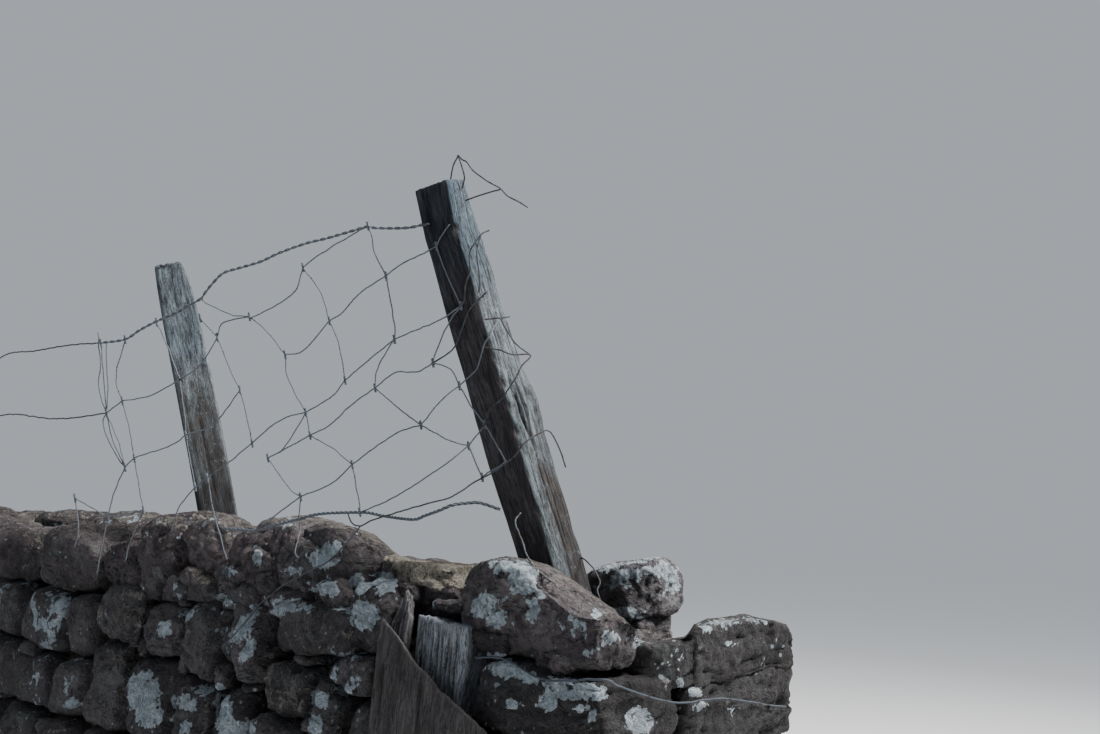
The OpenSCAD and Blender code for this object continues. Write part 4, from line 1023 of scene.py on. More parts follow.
s = Soup()
free_stone(s, rng, (1160, -113, 1240), (290, 138, 118), (84, 40, 38), 2, e=5.2, cuts=12, lumpy=0.95, lamt=-0.05, moss=0.50,
           top=[(1010, 1288), (1024, 1298), (1044, 1304), (1072, 1308), (1111, 1306), (1144, 1300), (1164, 1294), (1183, 1284), (1207, 1275), (1237, 1264), (1271, 1250), (1304, 1232)],
           field=crust_field, shape=narrower_right, ridge=FOOT_RIDGE, rim=(-14, -5, 0.55), cav=0.55, tone=0.10)
free_stone(s, rng, (1080, -150, 1194), (90, 60, 40), (22, 14, 14), 0, e=4.6, cuts=8, lamt=-0.2, moss=0.2, field=crust_field, cav=0.7)
free_stone(s, rng, (1206, -150, 1184), (74, 52, 28), (20, 14, 10), 0, e=4.6, cuts=8, lamt=0.0, moss=0.2, field=crust_field, cav=0.6)
s.build("foot_boulder", STONE_WARM, "stone_lichen", ["boulder_c"])

s = Soup()
free_stone(s, rng, (1256, -50, 1176), (90, 92, 60), (26, 26, 18), 0, e=12.0, cuts=3, lumpy=0.6, lamt=-0.3, moss=0.22, field=crust_field, ridge=END_RIDGE, cav=0.3, tone=0.14)
# painted shade: the darker copy of the stone
s.build("low_squared_stone", STONE_PAINTED_SHADE, "stone_mossy", ["low_stone"])

s = Soup()
free_stone(s, rng, (1247, 97, 1181), (110, 216, 76), (32, 60, 24), 0, e=16.0, cuts=0, lumpy=0.5, lamt=0.0, moss=0.3, field=crust_field, ridge=END_RIDGE, cav=0.1, tone=0.3)
# painted shade: the darker copy of the stone
s.build("end_block_stone", STONE_PAINTED_SHADE, "stone_lichen", ["end_block"])

s = Soup()
free_stone(s, rng, (1152, 18, 1172), (86, 78, 50), (18, 16, 10), 4, e=3.8, cuts=8, lamt=0.1, moss=0.4, field=crust_field)
free_stone(s, rng, (1096, 60, 1166), (70, 40, 40), (12, 8, 8), 20, e=3.2, cuts=8, lamt=0.1, moss=0.5)
s.build("corner_stone_low", STONE_WARM, "stone_dark", ["corner_stone"])

s = Soup()
free_stone(s, rng, (1074, 118, 1240), (158, 110, 84), (44, 32, 24), -6, e=3.4, cuts=11, lumpy=1.0, lamt=0.30, moss=0.16, field=crust_field, tone=0.15, cav=0.0,
           top=[(995, 1266), (1030, 1274), (1070, 1284), (1110, 1290), (1140, 1292), (1160, 1286)], ridge=BACK_RIDGE)
free_stone(s, rng, (1066, 122, 1178), (128, 96, 62), (26, 20, 14), 2, e=4.0, cuts=8, lumpy=1.0, lamt=-0.8, moss=0.2, field=crust_field, cav=0.85, tone=0.0)
# painted light: the lighter copy lifts this shaded stone
s.build("pale_back_stone", STONE_PALE_LIT, "stone_lichen", ["back_stone"])

# ---------------------------------------------------------------- timber


def rows_table(rows):
    r = np.asarray(rows, float)
    return lambda s: [np.interp(s, r[:, 0], r[:, k]) for k in (1, 2, 3)]


MAIN_F, MAIN_T = at(14, -7, 2095), at(-143, 564, 2095)
MAIN_ROWS = [[0, 0, 51, 43], [0.07, 1, 51, 42], [0.185, 1, 51, 41], [0.305, 0, 54, 41], [0.44, 1, 56, 38],
             [0.55, -1, 52, 34], [0.667, -2, 52, 30], [0.777, -2, 52, 30], [0.887, -6, 49, 31], [1, 0, 50, 23]]
SECOND_F, SECOND_T = at(-485, 70, 2709), at(-556, 447, 2709)
SECOND_ROWS = [[0, 0, 18, 62], [0.3, 1, 18, 63], [0.55, 0, 17, 63], [0.8, -1, 16, 62], [0.93, 0, 14, 56], [1, 2, 12, 46]]
THIRD_F, THIRD_T = np.array([-800.0, -45, 1250]), np.array([-870.0, -95, 1700])
THIRD_ROWS = [[0, 0, 30, 50], [0.4, 2, 29, 49], [0.75, -1, 28, 46], [0.93, 0, 26, 43], [1, 3, 20, 36]]


def grain(w, seed, strong=1.0):
    """Raised grain of a weathered face: w is (x, y, along) in mm."""
    w = w + np.stack([3.5 * noise(w / np.array([40.0, 40.0, 60.0]), seed + 6), 3.5 * noise(w / np.array([40.0, 40.0, 60.0]), seed + 7), 0 * w[:, 2]], 1)
    return strong * (0.45 * noise(w / np.array([5.0, 5.0, 150.0]), seed) + 0.32 * noise(w / np.array([2.6, 2.6, 90.0]), seed + 1)
                     + 0.40 * noise(w / np.array([17.0, 17.0, 260.0]), seed + 2) + 0.6 * noise(w / np.array([45.0, 45.0, 70.0]), seed + 3))


def crack_depth(x, s, checks, seed):
    """Depth of the drying cracks at (x across, s along). A check is (x, wander, from, to, width, depth)."""
    out = np.zeros(len(x))
    for k, (xc, wander, s0, s1, width, depth) in enumerate(checks):
        line = xc + wander * noise(np.stack([s / 70.0, np.full(len(s), k * 3.3), np.full(len(s), seed)], 1), 7)
        taper = smooth(s, s0, s0 + 35) * smooth(-s, -s1, -s1 + 35)
        out = np.maximum(out, depth * taper * np.exp(-((x - line) / width) ** 2))
    return out


def build_post(name, foot, tip, rows, grid, material, node, seed, checks, buried=430.0, marks=None, painted_shade_left=0.8, brown=None, slot="weathered_timber", rag=2.0, crown=0.0, cool=None, dim=None):
    abc, q = box_grid(*grid)
    a, b, c = abc.T.copy()
    length = np.linalg.norm(tip - foot)
    axis = (tip - foot) / length
    qv = np.cross(axis, AWAY)
    qv *= np.sign(qv @ RIGHT) / np.linalg.norm(qv)
    gv = np.cross(qv, axis)
    gv *= np.sign(gv @ AWAY) / np.linalg.norm(gv)
    t = (c + 1) / 2
    k = 0.07
    s = np.where(t < k, -buried + (buried - 20) * t / k, -20 + (length + 20) * (t - k) / (1 - k))
    bend, left, right = rows_table(rows)(np.clip(s / length, 0, 1))
    side = np.hypot(left, right)
    # rounded and worn arrises
    w0 = np.stack([a * 30, b * 30, s], 1)
    e = 11 + 5 * noise(w0 / np.array([60.0, 60.0, 70.0]), seed + 9)
    r = (np.abs(a) ** e + np.abs(b) ** e) ** (1 / e)
    cap = np.abs(c) >= 1
    r = np.where(r > 1e-6, r / np.maximum(np.maximum(np.abs(a), np.abs(b)), 1e-6), 1.0)
    a2, b2 = a / r, b / r
    na, nb = np.sign(a2) * np.abs(a2) ** (e - 1), np.sign(b2) * np.abs(b2) ** (e - 1)
    norm = np.maximum(np.hypot(na, nb), 1e-9)
    na, nb = na / norm, nb / norm
    x, y = (a2 + 1) / 2 * side, (b2 + 1) / 2 * side
    w = np.stack([x, y, s], 1)
    d = grain(w, seed, 0.8) * (1 - 0.6 * smooth(-a, 0.97, 0.999))
    crack = np.zeros(len(x))
    shade = np.zeros(len(x))
    on = {"right": smooth(-b, 0.97, 0.999), "left": smooth(-a, 0.97, 0.999), "far": smooth(b, 0.97, 0.999), "back": smooth(a, 0.97, 0.999)}
    for face, list_ in checks.items():
        depth = crack_depth(x if face in ("right", "far") else y, s, list_, seed) * on[face]
        crack = np.maximum(crack, depth)
    d = d - crack
    if marks:
        for (mx, my, ms, rad, long_, amount) in marks:
            k2 = np.exp(-((x - mx) ** 2 + (y - my) ** 2) / rad ** 2 - ((s - ms) / long_) ** 2)
            d = d + amount * k2
            # painted shade in the gouges, carried by the crack mark
            if amount < 0:
                shade = np.maximum(shade, -amount * k2 / 5.0)
    d = np.where(cap, 0.0, d)
    av = (right[:, None] * qv + left[:, None] * gv) / side[:, None]
    bv = (-left[:, None] * qv + right[:, None] * gv) / side[:, None]
    base = foot + s[:, None] * axis + bend[:, None] * qv
    v = base + (x + na * d)[:, None] * av + (y + nb * d)[:, None] * bv
    # rough sawn and split top
    top = smooth(c, 0.985, 1.0)
    rough = rag * (1.6 * noise(w0 / np.array([7.0, 7.0, 1e9]), seed + 5) + 1.0 * noise(w0 / np.array([2.6, 2.6, 1e9]), seed + 6)) - 1.5 * rag * smooth(np.maximum(np.abs(a), np.abs(b)), 0.8, 1.0)
    v = v + (top * (rough + crown))[:, None] * axis
    # painted shade with darker weathering: the left face nearly black and the far face darker, the sides turned from
    # the light
    dark = painted_shade_left * smooth(-a, 0.86, 0.97) * (1 - smooth(-b, 0.90, 0.99)) + 0.35 * smooth(b, 0.9, 1.0)
    br, co, di = (np.zeros(len(x)) if f is None else np.clip(f(s, x, y), -1, 1.2) for f in (brown, cool, dim))
    # lighter edges: the near arris worn, the right face's far edge a painted highlight where light grazes it
    wear = 0.75 * smooth(-a, 0.90, 1.0) * smooth(-b, 0.90, 1.0) + 0.7 * smooth(a, 0.95, 1.0) * smooth(-b, 0.93, 1.0)
    soup = Soup()
    soup.add(v, q, wg=np.stack([x, y, s], 1) * MM + seed * 0.37, crack=np.clip(crack / 3.2 + shade, 0, 1), dark=np.clip(dark, 0, 1), brown=br, cool=co, dim=di, wear=wear * (1 - np.clip(shade * 2, 0, 1)))
    return soup.build(name, material, slot, [node])


def main_brown(s, x, y):
    """Brown staining low on the bright face, more towards its right."""
    low = smooth(-s, -250, -120)
    return np.clip(1.15 * low * smooth(x + s * 0.06, 14, 44) + 0.30 * smooth(-s, -160, -20) + 0.45 * smooth(-s, -330, -260) * smooth(s, 190, 230) * smooth(x, 20, 50)
                   - 0.6 * smooth(s, 300, 420) - 0.3 * low * smooth(-x, -20, -6), -1, 1.2)


build_post("post_main", MAIN_F, MAIN_T, MAIN_ROWS, (40, 36, 240), POST_WOOD, "main_post", 3, {
    "right": [(12, 2, 60, 300, 1.1, 1.8), (14, 2, 330, 590, 1.1, 1.8), (29, 3, -10, 330, 1.3, 3.4), (44, 2, 120, 480, 1.1, 1.8), (36, 2.5, 360, 600, 1.2, 2.6), (52, 2, 60, 300, 1.0, 1.6),
              (22, 2, 300, 500, 1.0, 1.5), (57, 2, 300, 560, 1.0, 1.6), (38, 2, 40, 190, 1.0, 1.8), (19, 2, 20, 180, 1.0, 1.6), (30, 2, 420, 600, 1.0, 1.6)],
    "left": [(18, 4, 30, 560, 1.2, 1.8), (40, 5, 160, 600, 1.2, 2.2)],
    "far": [(22, 5, 20, 560, 1.5, 5.0), (46, 4, 100, 600, 1.2, 4.0)],
    "back": [(25, 5, 60, 600, 1.5, 5.0), (50, 4, 0, 380, 1.2, 4.0)],
}, marks=[
    (22, 0, 256, 3.2, 17, -13), (25, 0, 232, 2.6, 12, -8), (18, 0, 286, 2.6, 12, -6), (28, 0, 214, 2.2, 14, -4),     # the splintered slot
    (34, 0, 258, 3.0, 20, 4.5), (31, 0, 226, 2.4, 14, 2.5), (13, 0, 262, 3.0, 12, 2.5),                             # splinters beside it
    (0, 0, 517, 8, 5, -8), (2, 0, 508, 6, 7, -4), (0, 4, 500, 5, 8, -3),                 # notch in the near arris
    (0, 0, 352, 5, 7, -3.5), (0, 0, 333, 6, 8, -5), (0, 0, 314, 4, 6, 2.5), (0, 0, 296, 7, 8, -6), (1, 0, 279, 4, 5, 2.0), (0, 0, 262, 6, 7, -5.5),
    (0, 1, 243, 4, 6, 2.5), (0, 0, 226, 7, 8, -6), (0, 0, 205, 5, 7, -4), (0, 0, 188, 4, 6, 1.8), (0, 0, 166, 5, 9, -3.5),  # torn arris
    (60, 2, 262, 9, 26, 4.6), (62, 4, 232, 6, 10, 2.4), (50, 0, 276, 8, 9, 2.2), (55, 0, 243, 5, 6, -2.5),          # knot at the right edge
    (0, 0, 420, 4, 10, -2.0), (0, 2, 110, 6, 16, -2.5), (0, 0, 70, 5, 12, -2.0), (0, 0, 452, 4, 8, -1.5),
    (66, 0, 420, 6, 20, -2.5), (66, 0, 350, 5, 8, -2), (66, 0, 150, 6, 26, -2.5), (66, 0, 70, 6, 14, -2.5),
    (30, 0, 596, 8, 6, -2),
], brown=main_brown, painted_shade_left=0.98, rag=0.8, crown=5.0, cool=lambda s, x, y: 0.92 * smooth(s, 385, 490) + 0.15 * smooth(s, 60, 240) * smooth(-x, -44, -14),
    dim=lambda s, x, y: 0.80 * smooth(-s, -250, -130) * smooth(x, 18, 42) + 0.25 * smooth(-s, -110, -30))

build_post("post_second", SECOND_F, SECOND_T, SECOND_ROWS, (24, 24, 120), BLUE_WOOD, "second_post", 13, {
    "right": [(12, 4, 20, 260, 1.2, 1.8), (31, 4, 40, 230, 1.3, 2.2), (44, 3, 260, 480, 1.0, 1.4)],
    "left": [(20, 4, 0, 400, 1.4, 4.5), (36, 4, 150, 480, 1.3, 4.0)],
    "far": [(24, 5, 0, 480, 1.5, 5.0)], "back": [(28, 5, 0, 420, 1.5, 5.0)],
}, marks=[(34, 0, 330, 9, 14, 4.0), (16, 0, 488, 8, 8, -5), (54, 0, 478, 7, 12, -4), (0, 0, 440, 5, 20, -2.5), (52, 0, 290, 6, 18, -3), (10, 0, 300, 6, 20, -3)], painted_shade_left=0.25,
    brown=lambda s, x, y: 0.95 * smooth(-s, -300, -230) - 0.5 * smooth(s, 300, 350), rag=2.2,
    # painted shade: the second post darker towards its foot
    cool=lambda s, x, y: 0.45 * smooth(s, 290, 340) + 0.35 * smooth(-s, -120, -40), dim=lambda s, x, y: 0.85 * smooth(-s, -190, -60))

build_post("post_third", THIRD_F, THIRD_T, THIRD_ROWS, (18, 18, 90), BLUE_WOOD, "third_post", 23, {
    "right": [(14, 4, 20, 420, 1.5, 4.5), (40, 4, 60, 450, 1.5, 4.5)], "left": [(26, 4, 0, 400, 1.5, 5.0)],
    "far": [(24, 5, 0, 450, 1.5, 5.0)], "back": [(30, 5, 0, 420, 1.5, 5.0)],
}, marks=[(20, 0, 452, 12, 14, -7), (58, 0, 430, 10, 20, -6), (40, 0, 210, 9, 16, 3.5)], painted_shade_left=0.35,
    brown=lambda s, x, y: 1.0 * smooth(-s, -220, -90), rag=3.0)

LEAN = math.atan((650 - 380) / 2 / (1150 - 120))


def on_face(x, z, local):
    """Local (x, y in from the face, z up the face) to the part's frame, like the construction model's own."""
    c, s = math.cos(LEAN), math.sin(LEAN)
    lx, ly, lz = local.T
    return np.stack([x + lx, -float(half_width(z)) + ly * c + lz * s, z - ly * s + lz * c], 1)


def build_plank(name, grid, size, top, place, material, node, seed, checks, slot, dark=0.0, strong=1.0, rag=1.0, frayed=0.0, ridge=0.0, brown=0.0, wear=0.0):
    """A plank standing on its end: size (width, thickness), top(x) its height. Local y runs into the wall."""
    abc, q = box_grid(*grid)
    a, b, c = abc.T
    wide, thick = size
    e = 9.0
    r = (np.abs(a) ** (e * 2) + np.abs(b) ** e) ** (1 / e)
    r = np.maximum(r / np.maximum(np.maximum(np.abs(a) ** 2, np.abs(b)), 1e-6), 1.0) ** 0.5
    x, y = (a / np.where(np.abs(a) > 0.9, r, 1.0) + 1) / 2 * wide, (b / r + 1) / 2 * thick
    tall = top(x, y)
    u = (c + 1) / 2
    s = tall * u ** 0.9
    w = np.stack([x, y, s], 1)
    front = smooth(-b, 0.9, 1.0) - smooth(b, 0.9, 1.0)
    sides = (smooth(a, 0.9, 1.0) - smooth(-a, 0.9, 1.0)) * (1 - np.abs(front))
    d = grain(w, seed, strong)
    if ridge:
        rr = np.abs(noise(w / np.array([9.0, 9.0, 420.0]), seed + 4))
        d = d + ridge * (0.6 - 2.2 * rr)
    crack = crack_depth(x, s, checks, seed) * np.abs(front)
    d = d - crack
    cap = smooth(np.abs(c), 0.995, 1.0)
    d = d * (1 - cap * 0.6)
    local = np.stack([x + sides * d, y - front * d, s], 1)
    fray = rag * (2.2 * noise(w / np.array([6.0, 6.0, 1e9]), seed + 5) + 1.5 * noise(w / np.array([2.5, 2.5, 1e9]), seed + 6)) + frayed * np.abs(noise(w / np.array([13.0, 13.0, 1e9]), seed + 7)) * -1
    local[:, 2] += fray * smooth(c, 0.93, 1.0)
    v = place(local)
    soup = Soup()
    # the top end lighter: wear, with a painted highlight along its lit edge
    soup.add(v, q, wg=np.stack([x, y, s], 1) * MM + seed * 0.37, crack=np.clip(crack / 3.0, 0, 1), dark=np.full(len(x), dark), brown=np.full(len(x), brown),
             wear=wear * smooth(c, 0.986, 1.0))
    return soup.build(name, material, slot, [node])


build_plank("stile_upright", (44, 12, 120), (100.0, 70.0), lambda x, y: 584 + 1.5 * np.sin(x / 11.0) - 0.05 * x - 0.09 * y,
            lambda p: on_face(960, 640, p - np.array([0, 3.0, 0])), STUB_WOOD, "stile_stub", 33,
            [(14, 2, 300, 575, 1.5, 3.5), (22, 1.5, 420, 578, 1.2, 2.6), (34, 3, 200, 577, 1.6, 4.6), (47, 2, 380, 577, 1.3, 3.6), (56, 2, 440, 577, 1.2, 2.8), (66, 3, 260, 577, 1.6, 4.6), (84, 2, 330, 577, 1.4, 3.6), (75, 2, 100, 560, 1.3, 3.2)],
            "weathered_timber", strong=1.0, rag=1.3, frayed=4.0, ridge=1.5, wear=0.5)
def splinter_place(p):
    """The piece is wider below its torn top, on its left."""
    k = smooth(-p[:, 2], -612, -545)
    return on_face(903, 640, np.stack([28 - (28 - p[:, 0]) * (0.90 + 0.38 * k) - 3 * k, p[:, 1] + 9.0 - 3 * k, p[:, 2]], 1))


build_plank("stile_splinter_piece", (32, 10, 110), (28.0, 11.0), lambda x, y: np.interp(x, [0, 5, 7, 10, 13, 15, 17, 20, 22, 25, 28], [566, 590, 604, 598, 616, 607, 613, 596, 604, 588, 582]) - 0.6 * y,
            splinter_place, SPLINTER_WOOD, "stile_splinter", 43,
            [(6, 1.2, 200, 596, 1.0, 3.2), (11, 1.2, 300, 604, 0.9, 3.0), (15.5, 1.2, 350, 612, 1.0, 3.4), (20, 1.2, 300, 604, 0.9, 3.2), (24, 1.0, 260, 590, 0.9, 2.6)], "weathered_timber", strong=1.1, rag=1.0, frayed=3.0, ridge=1.8, brown=0.2)


def board_top(x, y):
    return np.interp(x, [0, 12, 42, 63, 86, 112, 139, 160, 192, 236], [1087, 1097, 1079, 1063, 1047, 1037, 1019, 1012, 999, 980]) - 0.85 * y


def board_place(p):
    c, s = math.cos(LEAN), math.sin(LEAN)
    lx, ly, lz = p.T
    ly = ly - 28.0
    return np.stack([908 + lx, -325.5 + ly * c + lz * s, 120 - ly * s + lz * c + 2.0], 1)


build_plank("slanting_board", (56, 6, 130), (236.0, 28.0), board_top, board_place, DARK_WOOD, "slant_board", 53,
            [(22, 4, 500, 1060, 1.6, 4.0), (61, 5, 100, 900, 1.6, 5.0), (98, 6, 600, 1040, 1.5, 4.5), (150, 5, 40, 760, 1.7, 5.0), (190, 5, 300, 990, 1.5, 4.0), (212, 3, 20, 420, 1.4, 4.0)],
            "dark_timber", strong=1.0, rag=0.5, frayed=2.0, brown=0.3, wear=0.9)

# ---------------------------------------------------------------- wire


def spline(points, step):
    """A smooth line through the points, with a point every step."""
    p = np.asarray(points, float)
    if len(p) == 2:
        n = max(2, int(np.linalg.norm(p[1] - p[0]) / step))
        return p[0] + (p[1] - p[0]) * np.linspace(0, 1, n + 1)[:, None]
    ext = np.vstack([2 * p[0] - p[1], p, 2 * p[-1] - p[-2]])
    out = []
    for i in range(len(p) - 1):
        p0, p1, p2, p3 = ext[i:i + 4]
        n = max(2, int(np.ceil(np.linalg.norm(p2 - p1) / step)))
        t = np.linspace(0, 1, n, endpoint=False)[:, None]
        d = 0.5
        out.append((2 * t ** 3 - 3 * t ** 2 + 1) * p1 + (t ** 3 - 2 * t ** 2 + t) * d * (p2 - p0)
                   + (-2 * t ** 3 + 3 * t ** 2) * p2 + (t ** 3 - t ** 2) * d * (p3 - p1))
    return np.vstack(out + [p[-1:]])


def tube(soup, line, radius, sides=6, kink=0.0, seed=0):
    line = np.asarray(line, float)
    n = len(line)
    if kink:
        s = np.r_[0, np.cumsum(np.linalg.norm(np.diff(line, axis=0), axis=1))]
        ends = smooth(s, 0, 12) * smooth(s[-1] - s, 0, 12)
        for ax in range(3):
            q3 = np.stack([s / 19.0, np.full(n, seed * 1.7), np.full(n, ax * 5.1)], 1)
            line[:, ax] += kink * ends * (noise(q3, 3) + 0.4 * noise(q3 * 2.7, 5))
    tan = np.gradient(line, axis=0)
    tan /= np.maximum(np.linalg.norm(tan, axis=1), 1e-9)[:, None]
    side = np.cross(tan[0], [0.1, 0.2, 1.0] if abs(tan[0][2]) < 0.8 else [1.0, 0.2, 0.0])
    side /= np.linalg.norm(side)
    verts = np.empty((n, sides, 3))
    ang = np.linspace(0, 2 * math.pi, sides, endpoint=False)
    r = np.broadcast_to(np.asarray(radius, float), (n,))
    for i in range(n):
        side = side - (side @ tan[i]) * tan[i]
        side /= np.linalg.norm(side)
        up = np.cross(tan[i], side)
        verts[i] = line[i] + r[i] * (np.cos(ang)[:, None] * side + np.sin(ang)[:, None] * up)
    v = np.vstack([verts.reshape(-1, 3), line[:1] - tan[0] * r[0] * 0.6, line[-1:] + tan[-1] * r[-1] * 0.6])
    i, k = np.meshgrid(np.arange(n - 1), np.arange(sides), indexing="ij")
    a, b = i * sides + k, i * sides + (k + 1) % sides
    q = np.stack([a, b, b + sides, a + sides], -1).reshape(-1, 4)
    k = np.arange(sides)
    first = np.stack([np.full(sides, n * sides), (k + 1) % sides, k], 1)
    last = np.stack([np.full(sides, n * sides + 1), (n - 1) * sides + k, (n - 1) * sides + (k + 1) % sides], 1)
    soup.add(v, q, np.vstack([first, last]))


def twisted(soup, line, radius, gap, pitch, sides=6, strands=2, phase=0.0):
    """Wires twisted round each other along a line."""
    line = np.asarray(line, float)
    s = np.r_[0, np.cumsum(np.linalg.norm(np.diff(line, axis=0), axis=1))]
    tan = np.gradient(line, axis=0)
    tan /= np.maximum(np.linalg.norm(tan, axis=1), 1e-9)[:, None]
    side = np.cross(tan[0], [0.1, 0.2, 1.0] if abs(tan[0][2]) < 0.8 else [1.0, 0.2, 0.0])
    side /= np.linalg.norm(side)
    fr = []
    for t in tan:
        side = side - (side @ t) * t
        side /= np.linalg.norm(side)
        fr.append((side, np.cross(t, side)))
    fr = np.array(fr)
    for k in range(strands):
        ang = 2 * math.pi * (s / pitch + k / strands) + phase
        off = gap * (np.cos(ang)[:, None] * fr[:, 0] + np.sin(ang)[:, None] * fr[:, 1])
        tube(soup, line + off, radius, sides)


SHEET = np.array([[-700, 2800], [-630, 2760], [-560, 2715], [-480, 2665], [-420, 2580], [-350, 2440], [-270, 2290], [-200, 2165], [-150, 2112], [-90, 2118]], float)


def hang(u, w):
    return float(np.interp(u, SHEET[:, 0], SHEET[:, 1])) - max(0, 170 - w) * 1.2 * min(1, max(0, (-u - 230) / 150))


def post_face(u, w):
    """Distance of the main post's two near faces along the sight line through (u, w)."""
    over = u - (14 - 157 * (w + 7) / 571)
    return 2095 + (-0.68 * over if over < 0 else 1.15 * over)


def net(p):
    return at(p[0], p[1], p[2] if len(p) == 3 else min(hang(p[0], p[1]), post_face(p[0], p[1]) - 8))


K = dict(
    T1=(-255, 503), T0=(-178, 505), P0=(-159, 475), P1=(-125, 391), A1=(-230, 433), A2=(-218, 344), M1=(-245, 276), N1=(-181, 224),
    Q1=(-164, 311), R1=(-127, 279), R2=(-91, 225), R3=(-114, 195), R4=(-95, 151), B0=(-346, 445), B1=(-309, 370), B2=(-287, 287),
    B3=(-336, 210), B4=(-277, 169), S1=(-266, 102), C0=(-421, 376), C1=(-371, 323), C2=(-342, 242), C3=(-395, 178), C4=(-349, 124),
    L0=(-488, 402), D0=(-490, 374), DD=(-466, 347), D1=(-434, 273), D2=(-417, 199), D3=(-480, 150), E0=(-551, 368), E1=(-519, 287),
    E2=(-510, 210), E3=(-497, 137), F0=(-595, 344), F1=(-599, 258), F2=(-582, 178), F3=(-569, 105), G0=(-629, 339), G1=(-621, 241),
    G2=(-595, 165), G3=(-619, 95), H0=(-665, 122))
RIGHT_STRANDS = [
    ["T1", (-248, 483), (-246, 466), "A1"], ["P0", (-176, 465), (-206, 451), "A1"], ["P0", (-151, 491), (-141, 505)], ["P0", (-147, 440), "P1"],
    ["A1", (-266, 409), (-291, 382), "B1"], ["A1", (-223, 395), (-217, 357), "A2"], ["P1", (-154, 371), (-202, 351), "A2"], ["P1", (-143, 365), (-160, 326), "Q1"],
    ["A2", (-249, 319), "B2"], ["A2", (-237, 314), (-244, 293), "M1"], ["M1", (-217, 297), (-185, 299), "Q1"], ["M1", (-210, 246), "N1"],
    ["M1", (-281, 250), (-308, 224), "B3"], ["Q1", (-139, 302), "R1"], ["R1", (-102, 304), (-94, 333), (-86, 348), (-70, 374)], ["R1", (-151, 260), "N1"],
    ["R1", (-109, 249), "R2"], ["R2", (-62, 173)], ["R2", "R3"], ["N1", (-209, 215), (-241, 196), "B4"], ["N1", (-139, 202), "R3"],
    ["R3", (-151, 166), (-218, 123), "S1"], ["R3", "R4"], ["R4", (-62, 173)]]
LEFT_STRANDS = [
    ["T1", (-284, 487), (-329, 459), "B0"], ["B0", (-321, 409), "B1"], ["B0", (-361, 407), (-413, 377), "C0"], ["B1", (-295, 336), "B2"],
    ["B1", (-346, 328), "C1"], ["B2", (-304, 265), "C2"], ["B3", "C2"], ["B3", (-359, 197), "C3"], ["B3", (-305, 192), "B4"], ["B4", (-268, 120), "S1"],
    ["B4", (-308, 141), "C4"], ["C0", (-447, 379), (-482, 395), "L0"], ["C0", (-458, 367), "DD"], ["C0", (-397, 356), "C1"], ["C1", (-367, 290), "C2"],
    ["C2", (-379, 230), "D2"], ["C2", (-372, 193), "C3"], ["C3", (-365, 136), "C4"], ["C4", (-412, 77)], ["D0", "DD"], ["DD", (-451, 309), "D1"],
    ["DD", (-490, 308), "E1"], ["D1", (-424, 235), "D2"], ["D1", (-472, 225), "E2"], ["D2", (-447, 174), "D3"], ["D3", "E3"], ["E0", (-532, 325), "E1"],
    ["E1", (-561, 265), "F1"], ["E1", (-512, 240), "E2"], ["E2", (-531, 196), "F2"], ["E2", "E3"], ["F0", (-608, 291), "F1"], ["F1", (-589, 220), "F2"],
    ["F2", (-575, 137), "F3"], ["F1", "G1"], ["F2", "G2"], ["F3", "G3"], ["G0", (-625, 290), "G1"], ["G1", (-604, 200), "G2"], ["G2", (-610, 130), "G3"],
    ["G3", "H0"], ["G3", (-628, 50), (-634, 16)], ["F3", (-588, 60), (-594, 34)], ["E3", (-520, 108), (-530, 74)], ["H0", (-660, 78), (-666, 52)],
    ["D3", (-470, 100), (-452, 36)],
    [(-633, 354), (-632, 334), (-630, 307), (-632, 280), (-627, 256), "G1"], [(-621, 339), (-621, 307), (-619, 276), "G1"],
    ["G1", (-613, 205), "G2"], ["G1", (-626, 228), (-619, 205), (-604, 176), "G2"], ["C4", (-351, 98), (-351, 72, 2320), (-357, 47, 2270), (-352, 38, 2265)]]


def lay_netting(name, strands, knots, node):
    soup = Soup()
    for i, strand in enumerate(strands):
        pts = [net(K[p] if isinstance(p, str) else p) for p in strand]
        tube(soup, spline(pts, 5.0), 1.05, 6, kink=1.1, seed=i + len(knots))
    for i, key in enumerate(knots):
        u, w = K[key]
        a, b = net((u - 1, w + 6)), net((u + 1, w - 6))
        line = a + (b - a) * np.linspace(0, 1, 15)[:, None]
        twisted(soup, line, 1.1, 1.15, 7.0, 6, 2, i * 0.8)
    soup.build(name, WIRE, "galvanised_wire", [node])


lay_netting("wire_netting_right", RIGHT_STRANDS, "T1 P0 P1 A1 A2 M1 N1 Q1 R1 R2 R3 R4".split(), "netting_right")
lay_netting("wire_netting_left", LEFT_STRANDS, "B0 B1 B2 B3 B4 S1 C0 C1 C2 C3 C4 D0 DD D1 D2 D3 E0 E1 E2 E3 F0 F1 F2 F3 G0 G1 G2 G3 H0".split(), "netting_left")

soup = Soup()
for pts, back in [([(-176, 505), (-202, 500), (-244, 500), (-255, 502), (-280, 495), (-311, 486), (-343, 478), (-379, 465), (-405, 453), (-435, 444), (-457, 437), (-471, 424), (-483, 409), (-488, 401)], 2),
                  ([(-488, 401), (-504, 392), (-521, 382), (-551, 369), (-574, 357), (-595, 344), (-629, 339)], 3)]:
    twisted(soup, spline([net(p) - back * AWAY for p in pts], 3.2), 1.15, 1.25, 28.0)
soup.build("netting_top_edge", WIRE, "galvanised_wire", ["top_selvedge"])

